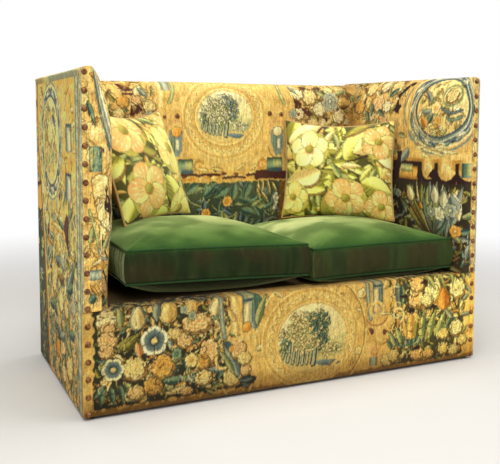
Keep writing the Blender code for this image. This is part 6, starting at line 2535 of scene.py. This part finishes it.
@dataclass
class ScatterCushion:
    """A knife-edged cushion with piping, leant into a corner."""

    side: str
    sign: int
    turn: float
    lean: float
    slump: float
    seed: int
    width: float = 0.42
    tall: float = 0.375
    thickness: float = 0.13
    edge: float = 0.006
    draw_in: float = 0.014
    dip: float = 0.028
    cells: int = 64
    piping: float = 0.0045

    def shaped(self, unit: np.ndarray) -> np.ndarray:
        """Shape a unit block into the cushion, standing upright about its own middle.

        Args:
            unit: Places in the block, from -0.5 to 0.5.

        Returns:
            Places about the cushion's middle.
        """
        u, v = np.sin(unit[:, 0] * math.pi), np.sin(unit[:, 2] * math.pi)
        across = u * (self.width / 2 - self.draw_in * humped(v, 1.0))
        dip = np.where(v > 0, self.dip, self.draw_in)
        up = v * (self.tall / 2 - dip * humped(u, 1.0))
        full = humped(u, 0.5) * humped(v, 0.5)
        thick = self.edge + (self.thickness - self.edge) * full
        return np.stack((across + self.slump * up, unit[:, 1] * thick, up), 1)

    def build(self, picture: Picture) -> tuple[bpy.types.Object, bpy.types.Object]:
        """Build the cushion and its piping.

        Args:
            picture: The print on its front.

        Returns:
            The cushion and its piping.
        """
        piece = block((self.cells, 2, self.cells))
        unit = read_points(piece.data)
        rim = np.maximum(np.abs(unit[:, 0]), np.abs(unit[:, 2])) > 0.5 - NEAR
        seam = np.flatnonzero(rim & (np.abs(unit[:, 1]) < NEAR))
        shape = self.shaped(unit)
        write_points(piece.data, shape)
        inflate(piece, np.flatnonzero(rim), 3.5, 0.014)
        moved = read_points(piece.data)
        moved[:, 1] *= np.abs(shape[:, 1]).max() / np.abs(moved[:, 1]).max()
        write_points(piece.data, moved)
        points = read_points(piece.data)
        u, v = unit[:, 0] * 2, unit[:, 2] * 2
        near = humped(u, 0.6) * humped(v, 0.6)
        fold = lattice_noise(u + 0.4 * v, v * 1.3 - 0.3 * u, 0.5, self.seed) - 0.5
        points[:, 1] += np.where(rim, 0.0, np.sign(unit[:, 1]) * fold * 0.012 * near)
        write_points(piece.data, points)
        order = np.argsort(np.arctan2(unit[seam, 2], unit[seam, 0]))
        loop = points[seam][order]
        subdivide(piece)
        local = read_points(piece.data)
        cloth = picture.read(local[:, 0] - self.slump * local[:, 2], local[:, 2])
        cloth = blend(cloth, shade("a8703a"), smooth_step((local[:, 1] - 0.002) / 0.006))
        lay_cloth(piece, cloth, local[:, 0], local[:, 2])
        low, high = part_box(f"scatter_cushion_{self.side}")
        turn = Matrix.Rotation(self.turn, 4, "Z") @ Matrix.Rotation(-self.lean, 4, "X")
        placed = shape @ np.array(turn.to_3x3()).T
        shift = (np.array(low) + np.array(high)) / 2 - (placed.min(0) + placed.max(0)) / 2
        place = Matrix.Translation(shift) @ turn
        piece.data.transform(place)
        piece.name = f"printed_cushion_{self.side}"
        pipe = tube(f"print_piping_{self.side}", eased(loop), self.piping)
        pipe.data.transform(place)
        return piece, pipe


# Inside

GRAIN_OF = {
    Grain.UPRIGHT: ("front_post", "rear_post", "back_upright", "front_support", "rear_support"),
    Grain.DEEP: ("side_", "arm_top_rail", "arm_tack_rail", "base_stretcher"),
    Grain.ACROSS: ("front_base", "rear_base", "front_seat", "rear_seat", "back_top", "back_tack",
                   "front_corner", "rear_corner"),
}


@dataclass
class Inside:
    """What the covers hide: timber, webbing, springs, canvas and the deck."""

    maker: Maker

    def build(self) -> None:
        """Dress the frame's own solids, and build the soft pieces."""
        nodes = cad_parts
        for grain, starts in GRAIN_OF.items():
            wood = Hardwood(grain).material(f"hardwood_{grain.name.lower()}")
            for name, node in nodes.items():
                if name.startswith(starts):
                    self.paint(node, wood)
        steel = AgedMetal("3d3a36", "8b8880", 0.3, 0.95).material("spring_steel")
        foot = AgedMetal("2c2622", "6f5a48", 0.4, 0.85).material("glide_metal")
        for name, node in nodes.items():
            if name.startswith("seat_spring"):
                self.paint(node, steel)
            elif name.startswith("glide"):
                self.paint(node, foot)
        self.build_deck()
        self.build_canvas()
        self.build_dust_cover()
        self.build_webbing()

    def paint(self, node: bpy.types.Object, finish: bpy.types.Material) -> None:
        """Give one of the frame's solids a finish."""
        node.data.materials.clear()
        node.data.materials.append(finish)

    def build_deck(self) -> None:
        """The stuffed deck, stepped down under the front cover's flap."""
        flap, low = 0.0703, PLAN.deck - PLAN.skin
        half = PLAN.deck_half
        deep = [PLAN.skin, PLAN.skin, 0.0056, 0.009, 0.03, 0.05, flap, flap + 0.0006]
        height = [PLAN.pad_bottom, 0.3, 0.3033, low, low, low, low, PLAN.deck - 0.001]
        back = PLAN.seat_back + 0.0035
        inner = np.linspace(flap + 0.004, back - 0.002, 60)
        deep += [*inner, back, back]
        height += [PLAN.deck - 0.0003] * 60 + [PLAN.deck - 0.0015, PLAN.pad_bottom]
        across = np.linspace(-half, half, 150)
        x, d = np.meshgrid(across, deep)
        z = np.array(height)[:, None] + 0 * x
        top = z > PLAN.deck - 0.0005
        quilt = np.minimum(np.abs(((x / 0.1) % 1) - 0.5), np.abs((((d - 0.07) / 0.1) % 1) - 0.5))
        z = z - np.where(top, 0.0022 * (1 - smooth_step(quilt / 0.1)), 0.0)
        rows, columns = x.shape
        faces = [face[::-1] for face in grid_faces(rows, columns)]
        faces.append(tuple((rows - 1) * columns + c for c in range(columns))
                     + tuple(reversed(range(columns))))
        for column, flip in ((0, False), (columns - 1, True)):
            ring = [row * columns + column for row in range(rows)]
            faces.append(tuple(ring if flip else ring[::-1]))
        piece = mesh_object("deck_cloth", PLAN.set_out(np.stack((x, d, z), -1)), faces)
        # Painted shade: the hessian is made dark for the shade under the cushions.
        cloth = PlainWeave("3a2c18", "6b5632", 0.003).material("deck_hessian_in_shade")
        self.maker.fit(piece, cloth, "hessian", stands_for=("seat_deck",))

    def build_canvas(self) -> None:
        """The canvas over the springs, with a little sag between its edges."""
        low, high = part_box("spring_canvas")
        across, deep = np.linspace(low.x, high.x, 190), np.linspace(low.y, high.y, 90)
        x, y = np.meshgrid(across, deep)
        edge = np.minimum(np.minimum(x - low.x, high.x - x), np.minimum(y - low.y, high.y - y))
        z = high.z - 0.0002 - 0.0014 * smooth_step(edge / 0.1) * lattice_noise(x, y, 0.06, 2)
        post = 0.034
        keep_x = np.abs((across[1:] + across[:-1]) / 2)
        middle_y = (deep[1:] + deep[:-1]) / 2
        narrow = 1 - PLAN.narrowing * (middle_y - PLAN.front)
        inner = (PLAN.half_width - 0.048) * narrow
        cut = (keep_x[None] > inner[:, None]) & ((middle_y < low.y + post)
                                                 | (middle_y > high.y - post))[:, None]
        outer = (PLAN.half_width - 0.016) * narrow
        cut |= keep_x[None] > outer[:, None]
        piece = mesh_object("canvas_sheet", np.stack((x, y, z), -1),
                            grid_faces(*x.shape, keep=~cut))
        drop_loose(piece)
        turn_rim(piece, (0.0, 0.0, -0.0012))
        canvas = PlainWeave("7c6a48", "b8a67c", 0.0022).material("canvas")
        self.maker.fit(piece, canvas, "hessian", stands_for=("spring_canvas",))

    def build_dust_cover(self) -> None:
        """The thin black cloth tacked under the frame, sagging a little."""
        low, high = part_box("dust_cover")
        x, y = np.meshgrid(np.linspace(-1, 1, 160), np.linspace(low.y, high.y, 70))
        narrow = 1 - PLAN.narrowing * (y - PLAN.front)
        x = x * (PLAN.half_width - 0.012) * narrow
        part = (np.abs(x) / high.x, np.abs(y - (low.y + high.y) / 2) / (high.y - low.y) * 2)
        sag = humped(np.clip(part[0], 0, 1), 0.7) * humped(np.clip(part[1], 0, 1), 0.7)
        z = high.z - 0.0004 - 0.0035 * sag * (0.6 + 0.4 * lattice_noise(x, y, 0.08, 8))
        piece = mesh_object("dust_cloth", np.stack((x, y, z), -1),
                            [face[::-1] for face in grid_faces(*x.shape)])
        turn_rim(piece, (0.0, 0.0, 0.0006))
        lining = PlainWeave("0b0b0c", "26262a", 0.0012).material("black_lining")
        self.maker.fit(piece, lining, "black_lining", stands_for=("dust_cover",))

    def build_webbing(self) -> None:
        """The straps under the springs, woven over and under each other."""
        low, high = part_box("webbing")
        half, thick, level = 0.025, 0.0009, (low.z + high.z) / 2
        inset, end = 0.0463, 0.0143
        spacing_x = 2 * (PLAN.half_width - inset) / 6
        spacing_y = (PLAN.depth - 2 * inset) / 4
        across = [(index - 2.5) * spacing_x for index in range(6)]
        deep = [inset + (index + 0.5) * spacing_y for index in range(4)]
        points, faces = [], []

        def strap(run: np.ndarray, crossings: list[float], first: bool, lengthwise: bool,
                  at: float) -> None:
            """Add one strap.

            Args:
                run: Places along the strap.
                crossings: Where other straps cross it.
                first: Whether it passes over the first of them.
                lengthwise: Whether it runs across the sofa.
                at: Where it lies the other way.
            """
            rise = np.zeros(len(run))
            for index, crossing in enumerate(crossings):
                over = 1.0 if (index % 2 == 0) == first else -1.0
                near = smooth_step(1 - (np.abs(run - crossing) - half) / 0.03)
                rise += over * near * 0.0011
            base, columns = len(points), 14
            edges = np.linspace(-half, half, 6)
            for along, lift in zip(run, rise):
                ring = [(edge, level + lift - thick) for edge in edges]
                ring += [(half + 0.0004, level + lift)]
                ring += [(edge, level + lift + thick) for edge in edges[::-1]]
                ring += [(-half - 0.0004, level + lift)]
                for edge, height in ring:
                    points.append((along, at + edge, height) if lengthwise
                                  else (at + edge, along, height))
            for face in grid_faces(len(run), columns, around=True):
                faces.append(tuple(base + corner for corner in face))
            faces.append(tuple(base + corner for corner in range(columns)))
            last = base + (len(run) - 1) * columns
            faces.append(tuple(last + corner for corner in range(columns)))

        reach = PLAN.half_width - end
        for row, depth in enumerate(deep):
            strap(np.linspace(-reach, reach, 150), across, row % 2 == 0, True, depth)
        for column, place in enumerate(across):
            strap(np.linspace(end, PLAN.depth - end, 80), deep, column % 2 == 1, False, place)
        piece = mesh_object("web_straps", PLAN.set_out(np.array(points)), faces)
        jute = PlainWeave("6b5233", "b08f5c", 0.0026, "8c3b22").material("jute")
        self.maker.fit(piece, jute, "jute", stands_for=("webbing",))


@dataclass
class Studio:
    """The floor, the soft light and the photograph's camera."""

    place: tuple[float, float, float] = (-1.2953, -2.5198, 0.8474)
    turn: tuple[float, float, float] = (math.pi / 2 - 0.086, -0.001, -0.451)
    lens: float = 58.65
    shift: tuple[float, float] = (0.0365, -0.0888)

    def build(self) -> None:
        """Set up the camera, the floor, the world and the lamps."""
        scene = bpy.context.scene
        scene.view_settings.view_transform = "Standard"
        data = bpy.data.cameras.new("camera")
        data.lens, data.sensor_width = self.lens, 36.0
        data.shift_x, data.shift_y = self.shift
        camera = link(bpy.data.objects.new("camera", data))
        camera.location = self.place
        camera.rotation_euler = self.turn
        scene.camera = camera
        size = 14.0
        spots = [(-size, -size, 0.0), (size, -size, 0.0), (size, size, 0.0), (-size, size, 0.0)]
        floor = mesh_object("floor", np.array(spots), [(0, 1, 2, 3)], smooth=False)
        floor.data.materials.append(PalePlaster().material("floor"))
        self.build_world()
        self.add_lamp("key", (-1.7, -3.0, 3.6), (0.0, 0.0, 0.75), 2.6, 108.0)
        self.add_lamp("fill", (2.8, -2.6, 2.4), (0.0, 0.0, 0.7), 3.0, 42.0)
        self.add_lamp("top", (0.0, 0.0, 3.4), (0.0, 0.0, 0.5), 2.2, 62.0)

    def build_world(self) -> None:
        """A white surround to the camera and to mirrors, and a softer one to light by."""
        graph = Graph("studio", world=True)
        bpy.context.scene.world = graph.material
        graph.feed(graph.shader.inputs["Color"], (1.0, 1.0, 1.0))
        seen = graph.node("ShaderNodeLightPath", output="Is Camera Ray")
        mirrored = Term(graph, seen.socket.node.outputs["Is Glossy Ray"])
        level = graph.node("ShaderNodeMapRange", {}, {"Value": seen.math("MAXIMUM", seen, mirrored),
                                                      "To Min": 0.36, "To Max": 1.0})
        graph.feed(graph.shader.inputs["Strength"], level)

    def add_lamp(self, name: str, place: tuple[float, float, float],
                 target: tuple[float, float, float], size: float, power: float) -> None:
        """Hang one soft lamp.

        Args:
            name: Its name.
            place: Where it hangs.
            target: What it points at.
            size: How wide it is.
            power: Its power in watts.
        """
        data = bpy.data.lights.new(name, "AREA")
        data.size, data.energy = size, power
        lamp = link(bpy.data.objects.new(name, data))
        lamp.location = place
        lamp.rotation_euler = (Vector(target) - Vector(place)).to_track_quat("-Z", "Y").to_euler()


SIDES = {"left": -1, "right": 1}


def build_covers(maker: Maker) -> None:
    """Build every tapestry cover and the nails, and fit them."""
    wool = TapestryWool().material()
    nail = AgedMetal().material("aged_nail")
    for side, sign in SIDES.items():
        lining = maker.fit(ArmLining(side, sign).build(), wool, "tapestry",
                           stands_for=(f"arm_inside_{side}",))
        panel = Panel(f"arm_panel_{side}", (PLAN.skin, PLAN.bottom),
                      (PLAN.depth - PLAN.skin, PLAN.frame_top), 0.004, 0.004, 21 + sign)
        along, up, rise = panel.grid()
        points = np.stack((sign * (PLAN.half_width + rise), along, up), -1)
        cover = panel.dress(points, along, up, ARM_OUTSIDE, (-sign * PLAN.cover, 0.0, 0.0),
                            mirror=sign < 0)
        maker.fit(cover, wool, "tapestry", stands_for=(f"arm_outside_{side}",))
        front = maker.fit(ArmFront(side, sign).build(), wool, "tapestry",
                          stands_for=(f"arm_facing_{side}",))
        maker.fit(NailRow(side, sign).build(), nail, "aged_metal")
    back = maker.fit(BackLining().build(), wool, "tapestry", stands_for=("back_inside",))
    panel = Panel("back_panel", (-PLAN.half_width, PLAN.bottom),
                  (PLAN.half_width, PLAN.frame_top), 0.0055, 0.005, 33)
    along, up, rise = panel.grid()
    points = np.stack((along, PLAN.depth + rise, up), -1)
    cover = panel.dress(points, along, up, BACK_OUTSIDE, (0.0, -PLAN.cover, 0.0), mirror=True)
    maker.fit(cover, wool, "tapestry", stands_for=("back_outside",))
    seat = maker.fit(SeatFront().build(), wool, "tapestry", stands_for=("seat_front_cover",))


def build_cushions(maker: Maker) -> None:
    """Build the seat cushions and the scatter cushions, and fit them."""
    cover = Velvet().material("green_velvet")
    welt = Velvet(0.4).material("velvet_piping")
    cotton = PrintedCotton().material("printed_cotton")
    edging = PrintedCotton().material("print_edging")
    seats = {"left": (0.05, 0.01, 0.0455, 0.62), "right": (0.021, 0.0, 0.0035, 0.566)}
    leans = {"left": (math.radians(38.0), math.radians(14.0), -0.17),
             "right": (math.radians(-40.0), math.radians(8.0), 0.0)}
    for side, sign in SIDES.items():
        piece, pipes = SeatCushion(side, sign, *seats[side]).build()
        maker.fit(piece, cover, "green_velvet", f"{side}_seat", (f"seat_cushion_{side}",))
        for pipe in pipes:
            set_attribute(pipe, "Dyed", np.tile(tint("24401f"), (len(pipe.data.vertices), 1)))
            maker.fit(pipe, welt, "green_velvet", f"{side}_seat")
        picture = PrintDesign(side).draw()
        piece, pipe = ScatterCushion(side, sign, *leans[side], 17 + sign).build(picture)
        maker.fit(piece, cotton, "printed_cotton", f"{side}_scatter", (f"scatter_cushion_{side}",))
        set_attribute(pipe, "Dyed", np.tile(tint("c8a25e"), (len(pipe.data.vertices), 1)))
        maker.fit(pipe, edging, "printed_cotton", f"{side}_scatter")


SEAT_FRONT = SeatFrontDesign().draw()
BACK_INSIDE = BackDesign().draw()
ARM_INSIDE = ArmInsideDesign().draw()
ARM_OUTSIDE = OutsideDesign().draw()
ARM_FRONT = ArmFrontDesign().draw()
BACK_OUTSIDE = BackOutsideDesign().draw()


def main() -> None:
    """Build the sofa's looks round its frame."""
    logging.basicConfig(level=logging.INFO, format="%(name)s: %(message)s")
    maker = Maker()
    Studio().build()
    Inside(maker).build()
    build_covers(maker)
    build_cushions(maker)


if __name__ == "__main__":
    main()
